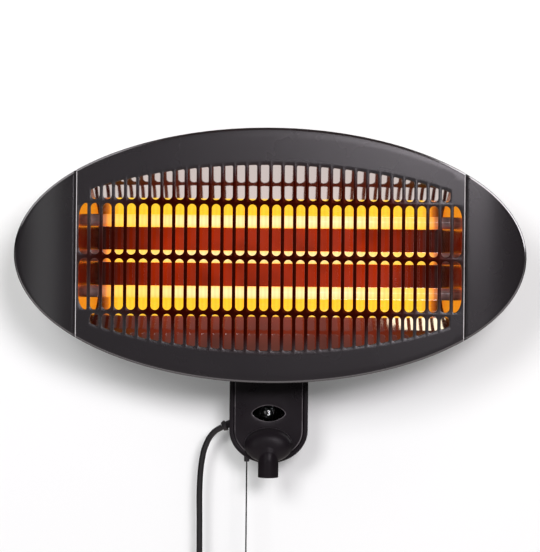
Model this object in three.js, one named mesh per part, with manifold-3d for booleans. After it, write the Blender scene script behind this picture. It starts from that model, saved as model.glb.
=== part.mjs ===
// A wall-hung quartz bar heater: an oval tilting head with a pierced face, a polished trough and three
// heating tubes, on a control box with a pull switch, a pole socket and a mains lead.
//
// Frame: millimetres, +Z up. The origin is the centre of the wall plate's back face, the wall is the
// plane y = 0, the heater faces -Y, and +X is to the right of someone looking at it.

import * as THREE from 'three';
import { mergeVertices } from 'three/addons/utils/BufferGeometryUtils.js';
import Module from 'manifold-3d';

const wasm = await Module();
wasm.setup();

// ---------------------------------------------------------------- driving dimensions

const FIT = 0.3;             // gap between pieces that sit on or in each other
const RUN = 0.3;             // gap round what turns or slides

// head
const HEAD_WIDTH = 500;
const HEAD_HEIGHT = 248;
const HEAD_Z = 110;          // centre of the oval above the origin
const FACE_Y = -130;         // front plane of the face
const FACE_SHEET = 1.2;
const RIM_DEPTH = 12;        // how far the rim turns back
const RIM_ROUND = 1.3;
const SEAM_X = 189;          // upright seams between face and end caps
const SEAM_GAP = 0.6;
const CAP_SWEEP = 10;        // how far the end caps' tips lie behind the face
const SHELL_WALL = 1;
const SHELL_BACK_Y = -70;

// grille
const GRILLE_DROP = 2.4;     // centre of the slot field below the oval's centre
const SLOT_COLUMNS = 32;
const SLOT_PITCH = 11.73;
const SLOT_WIDTH = 8.3;
const ROW_PITCH = 53.5;
const BAR_HEIGHT = 3.8;
const FIELD_HALF_WIDTH = 252;
const FIELD_HALF_HEIGHT = 90;
const SLOT_CORNER = 1.2;

// tubes and reflector
const TUBE_RADIUS = 6;
const TUBE_WALL = 1.2;
const TUBE_LENGTH = 380;
const TUBE_PITCH = 34.9;
const TUBE_DROP = 1.5;       // middle tube below the oval's centre
const TUBE_SETBACK = 26;     // tube centres behind the face
const GLOW_LENGTH = 316;
const COIL_RADIUS = 3.6;
const CAP_RADIUS = 8;
const CAP_LENGTH = 17;
const CAP_GRIP = 9;
const TROUGH_SHEET = 1;
const TROUGH_SETBACK = 42.6;  // flat back of the trough behind the face
const TROUGH_HALF_LENGTH = 188;
const TROUGH_BACK_HALF = 41;
const TROUGH_FACETS = [[6, 15], [23, 28], [26, 18]]; // rise in mm and lean in degrees, from the back out
const END_PLATE_X = 187;
const END_PLATE_LEAN = 21.5;

// tilt hinge
const PIVOT_Y = -40;
const PIVOT_Z = 10;
const BARREL_RADIUS = 15;
const BARREL_HALF = 20;
const PIVOT_RADIUS = 4;
const EAR_RADIUS = 13;
const EAR_SHEET = 3;
const WASHER_THICKNESS = 1.6;
const WASHER_RADIUS = 9;
const BOLT_HEAD_THICKNESS = 5;
const KNOB_RADIUS = 15;
const KNOB_WIDTH = 18;

// wall plate
const PLATE_WIDTH = 70;
const PLATE_HEIGHT = 110;
const PLATE_THICKNESS = 2.5;
const WALL_HOLE_RADIUS = 2.8;

// control box
const BOX_WIDTH = 79;
const BOX_TOP_Z = -8;
const BOX_BOTTOM_Z = -98.4;
const BOX_ROUND_HEIGHT = 33.1; // height of the half oval that closes the bottom
const BOX_FRONT_Y = -55;
const BOX_WALL = 2.2;
const BOX_RIM = 4.7;           // width of the rim band round the cover
const COVER_FRONT_Y = -58;
const COVER_SHEET = 2;
const COVER_SKIRT = 5.5;
const BOX_CORNER = 6;
const CORNER_STEPS = 3;
const ROUND_STEPS = 18;

// window, drum, switch and pull cord
const EYE_Z = -48;
const EYE_WIDTH = 33.2;
const EYE_HEIGHT = 15.6;
const LENS_THICKNESS = 1.2;
const DRUM_RADIUS = 11;
const DRUM_WIDTH = 10;
const SHAFT_RADIUS = 2;
const PULL_RADIUS = DRUM_RADIUS - 3; // radius at which the cord lies on the pulley
const STRING_DIAMETER = 1.5;
const STRING_END_Z = -212;
const BELL_RADIUS = 8.5;
const BELL_LENGTH = 27;

// pole socket
const BOSS_Z = -79.6;
const BOSS_HALF_WIDTH = 24.6;
const BOSS_HALF_HEIGHT = 17.6;
const BOSS_RISE = 13;
const SOCKET_RADIUS = 10.2;
const SOCKET_AXIS_Y = -62.5;
const SOCKET_END_Z = -111.7;
const SOCKET_BORE = 7.6;
const SOCKET_DEPTH = 28;

// mains lead
const LEAD_DIAMETER = 6;
const LEAD_Y = -26;
const GLAND_Z = -60.7;
const GLAND_TILT = 25;
const COIL_START_RADIUS = 45.5;
const COIL_PITCH = 6.8;
const COIL_TURNS = 6.19;
const LEAD_TAIL = 48;
const PLUG_HALF_WIDTH = 17;
const PLUG_THICKNESS = 26;

// ---------------------------------------------------------------- derived sizes

const HEAD_A = HEAD_WIDTH / 2;
const HEAD_B = HEAD_HEIGHT / 2;
const CAP_CURVE = (HEAD_A - SEAM_X) ** 2 / (2 * CAP_SWEEP);
const RIM_BACK_Y = FACE_Y + RIM_DEPTH;
const SHEET_BACK_Y = FACE_Y + FACE_SHEET;
const GRILLE_Z = -GRILLE_DROP;
const TUBE_Y = FACE_Y + TUBE_SETBACK;
const TUBE_HEIGHTS = { upper: TUBE_PITCH - TUBE_DROP, middle: -TUBE_DROP, lower: -TUBE_PITCH - TUBE_DROP };
const BOX_HALF = BOX_WIDTH / 2;
const BOX_BACK_Y = -PLATE_THICKNESS - FIT;
const COVER_INSET = BOX_RIM + FIT;
const LENS_FRONT_Y = COVER_FRONT_Y + COVER_SHEET + FIT;
const SHAFT_Y = LENS_FRONT_Y + LENS_THICKNESS + 0.5 + DRUM_RADIUS;
const STRING_Y = SHAFT_Y - PULL_RADIUS;
const CORD_X = 17.8 - BOX_HALF;
const SHOULDER_X = BARREL_HALF + RUN;
const WASHER_X = SHOULDER_X + EAR_SHEET + FIT;
const CLAMP_X = WASHER_X + WASHER_THICKNESS + FIT;
const PIVOT_HOLE = PIVOT_RADIUS + FIT;

// ---------------------------------------------------------------- building helpers

const heater = new THREE.Group();
const head = new THREE.Group();
head.position.z = HEAD_Z;
heater.add(head);

function addPiece(parent, name, geometry, colour, roughness, metalness = 0) {
  const look = { color: colour, roughness, metalness, flatShading: true };
  const material = new THREE.MeshStandardMaterial(look);
  const mesh = new THREE.Mesh(geometry, material);
  mesh.name = name;
  parent.add(mesh);
}

// A closed geometry as a solid that can be joined and cut.
function solid(geometry) {
  const bare = geometry.clone();
  bare.deleteAttribute('normal');
  bare.deleteAttribute('uv');
  const merged = mergeVertices(bare, 1e-4);
  const corners = merged.index.array;
  const kept = [];
  for (let i = 0; i < corners.length; i += 3) {
    const [a, b, c] = [corners[i], corners[i + 1], corners[i + 2]];
    if (a !== b && b !== c && c !== a) kept.push(a, b, c);
  }
  const vertProperties = new Float32Array(merged.attributes.position.array);
  return new wasm.Manifold(new wasm.Mesh({ numProp: 3, vertProperties, triVerts: new Uint32Array(kept) }));
}

function toGeometry(manifold) {
  const mesh = manifold.getMesh();
  const geometry = new THREE.BufferGeometry();
  geometry.setAttribute('position', new THREE.BufferAttribute(new Float32Array(mesh.vertProperties), 3));
  geometry.setIndex(new THREE.BufferAttribute(new Uint32Array(mesh.triVerts), 1));
  return geometry;
}

// A shape drawn in (x, z), running from yFront back to yBack.
function extrudeY(shape, yFront, yBack, curveSegments = 6) {
  const options = { depth: yBack - yFront, bevelEnabled: false, curveSegments };
  return new THREE.ExtrudeGeometry(shape, options).rotateX(Math.PI / 2).translate(0, yBack, 0);
}

// A shape drawn in (y, z), running from x0 to x1.
function extrudeX(shape, x0, x1, curveSegments = 6) {
  const options = { depth: x1 - x0, bevelEnabled: false, curveSegments };
  const turn = new THREE.Matrix4().makeBasis(
    new THREE.Vector3(0, 1, 0),
    new THREE.Vector3(0, 0, 1),
    new THREE.Vector3(1, 0, 0),
  );
  return new THREE.ExtrudeGeometry(shape, options).applyMatrix4(turn).translate(x0, 0, 0);
}

function boxAt(x0, x1, y0, y1, z0, z1) {
  const geometry = new THREE.BoxGeometry(x1 - x0, y1 - y0, z1 - z0);
  return geometry.translate((x0 + x1) / 2, (y0 + y1) / 2, (z0 + z1) / 2);
}

// A profile of [radius, distance] points, turned round the X, Y or Z axis. Distances run up the axis.
function turned(profile, axis, segments = 24) {
  const points = profile.map(([radius, along]) => new THREE.Vector2(radius, along));
  const geometry = new THREE.LatheGeometry(points, segments);
  if (axis === 'x') geometry.rotateZ(-Math.PI / 2);
  if (axis === 'z') geometry.rotateX(Math.PI / 2);
  return geometry;
}

function rod(radius, from, to, axis, segments = 24) {
  return turned([[0, from], [radius, from], [radius, to], [0, to]], axis, segments);
}

function ring(inner, outer, from, to, axis, segments = 24) {
  return turned([[inner, from], [outer, from], [outer, to], [inner, to], [inner, from]], axis, segments);
}

function polygon(points) {
  return new THREE.Shape(points.map(([u, v]) => new THREE.Vector2(u, v)));
}

// Points moved sideways off an open line by a distance, with mitred corners. Positive is to the left.
function offsetLine(points, distance) {
  return points.map((point, i) => {
    const before = points[Math.max(i - 1, 0)];
    const after = points[Math.min(i + 1, points.length - 1)];
    const first = new THREE.Vector2(point[0] - before[0], point[1] - before[1]);
    const second = new THREE.Vector2(after[0] - point[0], after[1] - point[1]);
    if (i === 0) first.copy(second);
    if (i === points.length - 1) second.copy(first);
    first.normalize();
    second.normalize();
    const normal = new THREE.Vector2(-first.y - second.y, first.x + second.x).normalize();
    const stretch = distance / (normal.x * -first.y + normal.y * first.x);
    return [point[0] + normal.x * stretch, point[1] + normal.y * stretch];
  });
}

// How far the front surface lies behind the face's plane: nothing on the face, a curve on the end caps.
function sweepBack(x) {
  const past = Math.max(Math.abs(x) - SEAM_X, 0);
  return past ** 2 / (2 * CAP_CURVE);
}

// A closed body through oval rings, from front to back. Each ring is its inset from the head's outline,
// its y and how much of the end caps' sweep it follows. Both ends close with upright strips.
const OVAL_POINTS = 64;

function ovalBody(rings) {
  const positions = [];
  for (const [inset, y, sweep] of rings) {
    for (let k = 0; k < OVAL_POINTS; k += 1) {
      const angle = (2 * Math.PI * k) / OVAL_POINTS;
      const x = (HEAD_A - inset) * Math.cos(angle);
      positions.push(x, y + sweep * sweepBack(x), (HEAD_B - inset) * Math.sin(angle));
    }
  }
  const at = (j, k) => j * OVAL_POINTS + ((k + OVAL_POINTS) % OVAL_POINTS);
  const faces = [];
  for (let j = 0; j + 1 < rings.length; j += 1) {
    for (let k = 0; k < OVAL_POINTS; k += 1) {
      faces.push(at(j, k), at(j + 1, k), at(j + 1, k + 1));
      faces.push(at(j, k), at(j + 1, k + 1), at(j, k + 1));
    }
  }
  const last = rings.length - 1;
  for (let k = 0; k < OVAL_POINTS / 2; k += 1) {
    if (k + 1 < OVAL_POINTS / 2) {
      faces.push(at(0, k), at(0, k + 1), at(0, -k - 1));
      faces.push(at(last, k), at(last, -k - 1), at(last, k + 1));
    }
    if (k > 0) {
      faces.push(at(0, k), at(0, -k - 1), at(0, -k));
      faces.push(at(last, k), at(last, -k), at(last, -k - 1));
    }
  }
  const geometry = new THREE.BufferGeometry();
  geometry.setAttribute('position', new THREE.BufferAttribute(new Float32Array(positions), 3));
  geometry.setIndex(faces);
  return geometry;
}

// ---------------------------------------------------------------- face and end caps

// The whole front as one shallow tray with a rounded edge, before it's parted at the seams.
function frontTray() {
  const outer = ovalBody([
    [RIM_ROUND, FACE_Y, 1],
    [RIM_ROUND * 0.3, FACE_Y + RIM_ROUND * 0.3, 1],
    [0, FACE_Y + RIM_ROUND, 1],
    [0, RIM_BACK_Y, 1],
  ]);
  const inner = ovalBody([
    [FACE_SHEET, SHEET_BACK_Y, 1],
    [FACE_SHEET, RIM_BACK_Y + CAP_SWEEP, 1],
  ]);
  return solid(outer).subtract(solid(inner));
}

// Half height of the oval slot field at x.
function fieldHeight(x) {
  return FIELD_HALF_HEIGHT * Math.sqrt(1 - (x / FIELD_HALF_WIDTH) ** 2);
}

// A slot of the two middle rows: a round at each end.
function middleSlot(x, low, high) {
  const radius = SLOT_WIDTH / 2;
  const shape = new THREE.Shape();
  shape.moveTo(x + radius, low + radius);
  shape.absarc(x, high - radius, radius, 0, Math.PI);
  shape.absarc(x, low + radius, radius, Math.PI, 2 * Math.PI);
  return shape;
}

// A slot of the outermost columns, whose outer side follows the oval. side is -1 or 1, up is where the
// nearer end of the field lies.
function cornerSlot(x, low, high, side, up) {
  const inner = x - (side * SLOT_WIDTH) / 2;
  const outer = x + (side * SLOT_WIDTH) / 2;
  const farEnd = up > 0 ? high : low;
  const nearEnd = up > 0 ? low : high;
  const tip = inner + side * 2 * SLOT_CORNER;
  return polygon([
    [inner, nearEnd + up * SLOT_CORNER],
    [inner + side * SLOT_CORNER, nearEnd],
    [tip, nearEnd],
    [tip + side * 3.2, nearEnd + up * 3.5],
    [outer, nearEnd + up * 9],
    [outer, farEnd - up * 22],
    [outer - side * 1.5, farEnd - up * 9],
    [tip + side * 1.2, farEnd],
    [inner + side * SLOT_CORNER, farEnd],
    [inner, farEnd - up * SLOT_CORNER],
  ]);
}

// A slot of the top or bottom row: a round at the bar and a cut along the field's outline.
function outerSlot(x, up) {
  const radius = SLOT_WIDTH / 2;
  const start = ROW_PITCH + BAR_HEIGHT / 2 + radius;
  const shape = new THREE.Shape();
  const nearer = fieldHeight(x - radius);
  const farther = fieldHeight(x + radius);
  const place = (u, v) => [u, GRILLE_Z + up * v];
  shape.moveTo(...place(x - radius, nearer - SLOT_CORNER));
  shape.lineTo(...place(x - radius, start));
  shape.absarc(x, GRILLE_Z + up * start, radius, Math.PI, up > 0 ? 2 * Math.PI : 0, up < 0);
  shape.lineTo(...place(x + radius, farther - SLOT_CORNER));
  shape.lineTo(...place(x + radius - SLOT_CORNER, farther));
  shape.lineTo(...place(x - radius + SLOT_CORNER, nearer));
  return shape;
}

function grilleSlots() {
  const shapes = [];
  const low = BAR_HEIGHT / 2;
  const high = ROW_PITCH - BAR_HEIGHT / 2;
  for (let i = 0; i < SLOT_COLUMNS; i += 1) {
    const x = (i - (SLOT_COLUMNS - 1) / 2) * SLOT_PITCH;
    const atEnd = i === 0 || i === SLOT_COLUMNS - 1;
    if (atEnd) {
      shapes.push(cornerSlot(x, GRILLE_Z + low, GRILLE_Z + high, Math.sign(x), 1));
      shapes.push(cornerSlot(x, GRILLE_Z - high, GRILLE_Z - low, Math.sign(x), -1));
    } else {
      shapes.push(middleSlot(x, GRILLE_Z + low, GRILLE_Z + high));
      shapes.push(middleSlot(x, GRILLE_Z - high, GRILLE_Z - low));
      shapes.push(outerSlot(x, 1));
      shapes.push(outerSlot(x, -1));
    }
  }
  return solid(extrudeY(shapes, FACE_Y - 1, SHEET_BACK_Y + 1, 2));
}

function facePanel(tray) {
  const half = SEAM_X - SEAM_GAP / 2;
  const middle = solid(boxAt(-half, half, FACE_Y - 5, RIM_BACK_Y + 5, -HEAD_B - 5, HEAD_B + 5));
  return toGeometry(tray.intersect(middle).subtract(grilleSlots()));
}

function endCap(tray, side) {
  const near = SEAM_X + SEAM_GAP / 2;
  const far = HEAD_A + 5;
  const [x0, x1] = side < 0 ? [-far, -near] : [near, far];
  const zone = boxAt(x0, x1, FACE_Y - 5, RIM_BACK_Y + CAP_SWEEP + 5, -HEAD_B - 5, HEAD_B + 5);
  return toGeometry(tray.intersect(solid(zone)));
}

const tray = frontTray();
addPiece(head, 'face_panel', facePanel(tray), 0x2e2c2d, 0.4, 0.3);
addPiece(head, 'end_cap_left', endCap(tray, -1), 0x322f30, 0.45);
addPiece(head, 'end_cap_right', endCap(tray, 1), 0x322f30, 0.45);

// ---------------------------------------------------------------- rear shell

// Insets, depths and sweep of the bowl, from its front edge to its flat back.
const SHELL_RINGS = [
  [FACE_SHEET + FIT, SHEET_BACK_Y + FIT, 1],
  [FACE_SHEET + FIT, RIM_BACK_Y + 2, 1],
  [18, -95, 0.6],
  [34, -78, 0.2],
  [46, SHELL_BACK_Y, 0],
];

// The bowl's inside, drawn in by a wall and a clearance. It ends flush with the back of the face's sheet.
function shellInside(clearance, frontY) {
  const wall = SHELL_WALL + clearance;
  const rings = SHELL_RINGS.map(([inset, y, sweep], i) => {
    const back = i === SHELL_RINGS.length - 1 ? wall : wall * 0.4;
    return [inset + wall, i === 0 ? frontY : y - back, sweep];
  });
  return solid(ovalBody(rings));
}

// Where the four bracket screws pass the shell's back, in the head's frame.
const BRACKET_HALF = SHOULDER_X + EAR_SHEET;
const BRACKET_TOP = -35;
const BRACKET_BOTTOM = -75;
const SCREW_RADIUS = 2;
const SCREW_HOLE = SCREW_RADIUS + FIT;
const BRACKET_SCREWS = [[-14, -45], [14, -45], [-14, -65], [14, -65]];
const LEAD_OUTLET = [46, -55];
const BACK_VENTS = { count: 6, start: 80, pitch: 14, width: 4.5, half: 22 };
const TOP_VENTS = { count: 7, pitch: 38, half: 12, yFront: -92, yBack: -87, low: 70 };
const GROMMET_RADIUS = 7;

function rearShell() {
  let body = solid(ovalBody(SHELL_RINGS)).subtract(shellInside(0, FACE_Y - 2));
  const vents = [];
  const [yFront, yBack] = [SHELL_BACK_Y - 12, SHELL_BACK_Y + 2];
  for (let i = 0; i < BACK_VENTS.count; i += 1) {
    const near = BACK_VENTS.start + i * BACK_VENTS.pitch;
    const far = near + BACK_VENTS.width;
    vents.push(boxAt(near, far, yFront, yBack, -BACK_VENTS.half, BACK_VENTS.half));
    vents.push(boxAt(-far, -near, yFront, yBack, -BACK_VENTS.half, BACK_VENTS.half));
  }
  for (let i = 0; i < TOP_VENTS.count; i += 1) {
    const x = (i - (TOP_VENTS.count - 1) / 2) * TOP_VENTS.pitch;
    const [x0, x1] = [x - TOP_VENTS.half, x + TOP_VENTS.half];
    vents.push(boxAt(x0, x1, TOP_VENTS.yFront, TOP_VENTS.yBack, TOP_VENTS.low, HEAD_B));
  }
  for (const vent of vents) body = body.subtract(solid(vent));
  for (const [x, z] of BRACKET_SCREWS) {
    const hole = rod(SCREW_HOLE, SHELL_BACK_Y - 5, SHELL_BACK_Y + 2, 'y', 10).translate(x, 0, z);
    body = body.subtract(solid(hole));
  }
  const outlet = rod(GROMMET_RADIUS + FIT, SHELL_BACK_Y - 5, SHELL_BACK_Y + 2, 'y', 20);
  return toGeometry(body.subtract(solid(outlet.translate(LEAD_OUTLET[0], 0, LEAD_OUTLET[1]))));
}

// A rubber grommet in a plate: a groove between two flanges. The plate lies between y0 and y1.
function grommetAt(x, y0, y1, z) {
  const lip = GROMMET_RADIUS + 2;
  const neck = GROMMET_RADIUS;
  return turned([
    [0, y0 - FIT - 1.5],
    [lip, y0 - FIT - 1.5],
    [lip, y0 - FIT],
    [neck, y0 - FIT],
    [neck, y1 + FIT],
    [lip, y1 + FIT],
    [lip - 1.5, y1 + 4],
    [0, y1 + 4],
  ], 'y', 12).translate(x, 0, z);
}

addPiece(head, 'rear_shell', rearShell(), 0x262425, 0.55, 0.2);
const outletBack = SHELL_BACK_Y - SHELL_WALL;
const headGrommet = grommetAt(LEAD_OUTLET[0], outletBack, SHELL_BACK_Y, LEAD_OUTLET[1]);
addPiece(head, 'head_grommet', headGrommet, 0x111111, 0.8);

// ---------------------------------------------------------------- reflector

// The trough's bright side as a line in (y, z), from its top lip round the back to its bottom lip.
function troughLine() {
  let y = FACE_Y + TROUGH_SETBACK;
  let z = TROUGH_BACK_HALF;
  const half = [[y, z]];
  for (const [rise, lean] of TROUGH_FACETS) {
    y -= rise * Math.tan(THREE.MathUtils.degToRad(lean));
    z += rise;
    half.push([y, z]);
  }
  half.push([SHEET_BACK_Y + FIT, z]);
  const top = half.map(([u, v]) => [u, GRILLE_Z + v]).reverse();
  const bottom = half.map(([u, v]) => [u, GRILLE_Z - v]);
  return [...top, ...bottom];
}

function reflector() {
  const bright = troughLine();
  const back = offsetLine(bright, TROUGH_SHEET).reverse();
  const sheet = extrudeX(polygon([...bright, ...back]), -TROUGH_HALF_LENGTH, TROUGH_HALF_LENGTH);
  return toGeometry(solid(sheet).intersect(shellInside(FIT, SHEET_BACK_Y + FIT)));
}

function endPlate(side) {
  const outline = offsetLine(troughLine(), -FIT);
  const lean = Math.tan(THREE.MathUtils.degToRad(END_PLATE_LEAN));
  const shear = new THREE.Matrix4().makeShear(0, 0, -side * lean, 0, 0, 0);
  const sheet = extrudeX(polygon(outline), -TROUGH_SHEET / 2, TROUGH_SHEET / 2)
    .translate(0, -SHEET_BACK_Y, 0)
    .applyMatrix4(shear)
    .translate(side * END_PLATE_X, SHEET_BACK_Y, 0);
  let plate = solid(sheet).intersect(shellInside(FIT, SHEET_BACK_Y + FIT));
  for (const z of Object.values(TUBE_HEIGHTS)) {
    const hole = rod(TUBE_RADIUS + FIT, -HEAD_A, HEAD_A, 'x', 16).translate(0, TUBE_Y, z);
    plate = plate.subtract(solid(hole));
  }
  return toGeometry(plate);
}

addPiece(head, 'reflector', reflector(), 0xd8d5d0, 0.12, 1);
addPiece(head, 'reflector_end_left', endPlate(-1), 0xd8d5d0, 0.15, 1);
addPiece(head, 'reflector_end_right', endPlate(1), 0xd8d5d0, 0.15, 1);

// ---------------------------------------------------------------- tubes

const CAP_START = TUBE_LENGTH / 2 - CAP_GRIP;

function quartzTube(z) {
  const half = TUBE_LENGTH / 2;
  return ring(TUBE_RADIUS - TUBE_WALL, TUBE_RADIUS, -half, half, 'x', 16).translate(0, TUBE_Y, z);
}

// The heating wire is wound too closely to show its turns, so it's its own outer cylinder, with a
// straight tail at each end that reaches into the ceramic cap.
function heatingCoil(z) {
  const glow = GLOW_LENGTH / 2;
  const tail = TUBE_LENGTH / 2;
  const profile = [
    [0, -tail], [1, -tail], [1, -glow - 4], [COIL_RADIUS, -glow],
    [COIL_RADIUS, glow], [1, glow + 4], [1, tail], [0, tail],
  ];
  return turned(profile, 'x', 8).translate(0, TUBE_Y, z);
}

function ceramicCap(z, side) {
  const bore = TUBE_RADIUS + FIT;
  const profile = [
    [bore, 0], [CAP_RADIUS, 0], [CAP_RADIUS, CAP_LENGTH - 3], [CAP_RADIUS - 3, CAP_LENGTH],
    [0, CAP_LENGTH], [0, CAP_GRIP + FIT], [bore, CAP_GRIP + FIT], [bore, 0],
  ];
  const cap = turned(profile, 'x', 12);
  if (side < 0) cap.rotateZ(Math.PI);
  return cap.translate(side * CAP_START, TUBE_Y, z);
}

for (const [level, z] of Object.entries(TUBE_HEIGHTS)) {
  addPiece(head, `quartz_tube_${level}`, quartzTube(z), 0xffe9c8, 0.05);
  addPiece(head, `heating_coil_${level}`, heatingCoil(z), 0xff9a30, 0.5, 0.6);
  addPiece(head, `ceramic_cap_${level}_left`, ceramicCap(z, -1), 0xe9e4d8, 0.6);
  addPiece(head, `ceramic_cap_${level}_right`, ceramicCap(z, 1), 0xe9e4d8, 0.6);
}

// ---------------------------------------------------------------- terminal block

const TERMINAL_X = 120;
const TERMINAL_COUNT = 3;
const TERMINAL_PITCH = 14;
const TERMINAL_HEIGHT = 12;
const TERMINAL_Z = -34;

function terminalBlock() {
  const back = SHELL_BACK_Y - SHELL_WALL - FIT;
  const front = FACE_Y + TROUGH_SETBACK + TROUGH_SHEET + 1.5;
  const length = TERMINAL_COUNT * TERMINAL_PITCH;
  const x0 = TERMINAL_X - length / 2;
  const half = TERMINAL_HEIGHT / 2;
  let block = solid(boxAt(x0, x0 + length, front, back, TERMINAL_Z - half, TERMINAL_Z + half));
  for (let i = 1; i < TERMINAL_COUNT; i += 1) {
    const x = x0 + i * TERMINAL_PITCH;
    const groove = boxAt(x - 1, x + 1, front - 1, front + 5, TERMINAL_Z - half - 1, TERMINAL_Z + half + 1);
    block = block.subtract(solid(groove));
  }
  return toGeometry(block);
}

addPiece(head, 'terminal_block', terminalBlock(), 0xe6e2d6, 0.6);

// ---------------------------------------------------------------- tilt bracket

const EAR_FRONT_Y = SHELL_BACK_Y + FIT;
const EAR_BACK_Y = EAR_FRONT_Y + EAR_SHEET;

// One ear in (y, z) of the head's frame: an arm from the bracket's plate to a round eye at the pivot.
function earShape() {
  const z = PIVOT_Z - HEAD_Z;
  const middle = (BRACKET_TOP + BRACKET_BOTTOM) / 2;
  const arm = Math.atan2(middle - z, EAR_FRONT_Y - PIVOT_Y);
  const shape = new THREE.Shape();
  shape.moveTo(EAR_FRONT_Y, BRACKET_TOP);
  shape.lineTo(EAR_FRONT_Y, BRACKET_BOTTOM);
  shape.absarc(PIVOT_Y, z, EAR_RADIUS, arm + Math.PI / 2, arm + (3 * Math.PI) / 2);
  shape.lineTo(EAR_BACK_Y, BRACKET_TOP);
  const eye = new THREE.Path();
  eye.absarc(PIVOT_Y, z, PIVOT_HOLE, 0, 2 * Math.PI);
  shape.holes.push(eye);
  return shape;
}

function tiltBracket() {
  const web = boxAt(-BRACKET_HALF, BRACKET_HALF, EAR_FRONT_Y, EAR_BACK_Y, BRACKET_BOTTOM, BRACKET_TOP);
  let bracket = solid(web);
  bracket = bracket.add(solid(extrudeX(earShape(), -BRACKET_HALF, -SHOULDER_X)));
  bracket = bracket.add(solid(extrudeX(earShape(), SHOULDER_X, BRACKET_HALF)));
  for (const [x, z] of BRACKET_SCREWS) {
    const hole = rod(SCREW_HOLE, EAR_FRONT_Y - 1, EAR_BACK_Y + 1, 'y', 10).translate(x, 0, z);
    bracket = bracket.subtract(solid(hole));
  }
  return toGeometry(bracket);
}

// A pan-head screw along Y: its head starts at y and lies on the side that toward points to.
function panScrew(y, toward, length) {
  const profile = [[0, 0], [3.4, 0], [4, 0.8], [4, 2.4], [SCREW_RADIUS, 2.4], [SCREW_RADIUS, 2.4 + length]];
  const screw = turned([...profile, [0, 2.4 + length]], 'y', 8);
  if (toward > 0) screw.rotateX(Math.PI);
  return screw.translate(0, y + toward * 2.4, 0);
}

addPiece(head, 'tilt_bracket', tiltBracket(), 0x1c1c1d, 0.45, 0.8);
BRACKET_SCREWS.forEach(([x, z], i) => {
  const screw = panScrew(EAR_BACK_Y + FIT, 1, EAR_SHEET + SHELL_WALL + 1.5).translate(x, 0, z);
  addPiece(head, `bracket_screw_${i + 1}`, screw, 0xb8b8b8, 0.35, 1);
});

// ---------------------------------------------------------------- pivot

const KNOB_BORE_DEPTH = 14;
const KNOB_GRIPS = 6;
const HEX_RADIUS = 6.5;

function pivotBolt() {
  const bolt = rod(PIVOT_RADIUS, -CLAMP_X - 1, CLAMP_X + KNOB_BORE_DEPTH - 1, 'x', 20);
  const hex = rod(HEX_RADIUS, -CLAMP_X - BOLT_HEAD_THICKNESS, -CLAMP_X, 'x', 6);
  return toGeometry(solid(bolt).add(solid(hex))).translate(0, PIVOT_Y, PIVOT_Z);
}

// A hand knob with shallow grips round it and a blind bore for the bolt.
function tiltKnob() {
  const face = CLAMP_X + KNOB_WIDTH;
  let knob = solid(turned([
    [0, CLAMP_X], [KNOB_RADIUS * 0.6, CLAMP_X], [KNOB_RADIUS, CLAMP_X + 4],
    [KNOB_RADIUS, face - 2], [KNOB_RADIUS - 2, face], [0, face],
  ], 'x', 24));
  for (let i = 0; i < KNOB_GRIPS; i += 1) {
    const grip = rod(4, CLAMP_X - 1, face + 1, 'x', 12).translate(0, KNOB_RADIUS + 2, 0);
    knob = knob.subtract(solid(grip.rotateX((i * 2 * Math.PI) / KNOB_GRIPS)));
  }
  knob = knob.subtract(solid(rod(PIVOT_HOLE, CLAMP_X - 1, CLAMP_X + KNOB_BORE_DEPTH, 'x', 20)));
  return toGeometry(knob).translate(0, PIVOT_Y, PIVOT_Z);
}

addPiece(heater, 'pivot_bolt', pivotBolt(), 0xb0b0b0, 0.35, 1);
addPiece(heater, 'tilt_knob', tiltKnob(), 0x161415, 0.5);
for (const [name, x] of [['washer_left', -WASHER_X - WASHER_THICKNESS], ['washer_right', WASHER_X]]) {
  const washer = ring(PIVOT_HOLE, WASHER_RADIUS, x, x + WASHER_THICKNESS, 'x', 14);
  addPiece(heater, name, washer.translate(0, PIVOT_Y, PIVOT_Z), 0xb8b8b8, 0.35, 1);
}

// ---------------------------------------------------------------- wall plate

const BOX_SCREW_X = BOX_HALF - 15.5;
const BOX_SCREW_Z = -22;
const WALL_HOLE_INSET = [9, 10];
const PLATE_CORNER = 6;

function wallPlate() {
  const corner = PLATE_CORNER;
  const x = PLATE_WIDTH / 2;
  const z = PLATE_HEIGHT / 2;
  const shape = new THREE.Shape();
  shape.moveTo(x, -z + corner);
  shape.absarc(x - corner, z - corner, corner, 0, Math.PI / 2);
  shape.absarc(-x + corner, z - corner, corner, Math.PI / 2, Math.PI);
  shape.absarc(-x + corner, -z + corner, corner, Math.PI, (3 * Math.PI) / 2);
  shape.absarc(x - corner, -z + corner, corner, (3 * Math.PI) / 2, 2 * Math.PI);
  const holeAt = (u, v, radius) => {
    const hole = new THREE.Path();
    hole.absarc(u, v, radius, 0, 2 * Math.PI);
    shape.holes.push(hole);
  };
  for (const side of [-1, 1]) {
    holeAt(side * (x - WALL_HOLE_INSET[0]), z - WALL_HOLE_INSET[1], WALL_HOLE_RADIUS);
    holeAt(side * (x - WALL_HOLE_INSET[0]), -z + WALL_HOLE_INSET[1], WALL_HOLE_RADIUS);
    holeAt(side * BOX_SCREW_X, BOX_SCREW_Z, SCREW_HOLE);
  }
  return extrudeY(shape, -PLATE_THICKNESS, 0, 4);
}

addPiece(heater, 'wall_plate', wallPlate(), 0x8f9092, 0.45, 0.9);

// ---------------------------------------------------------------- control box

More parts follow.
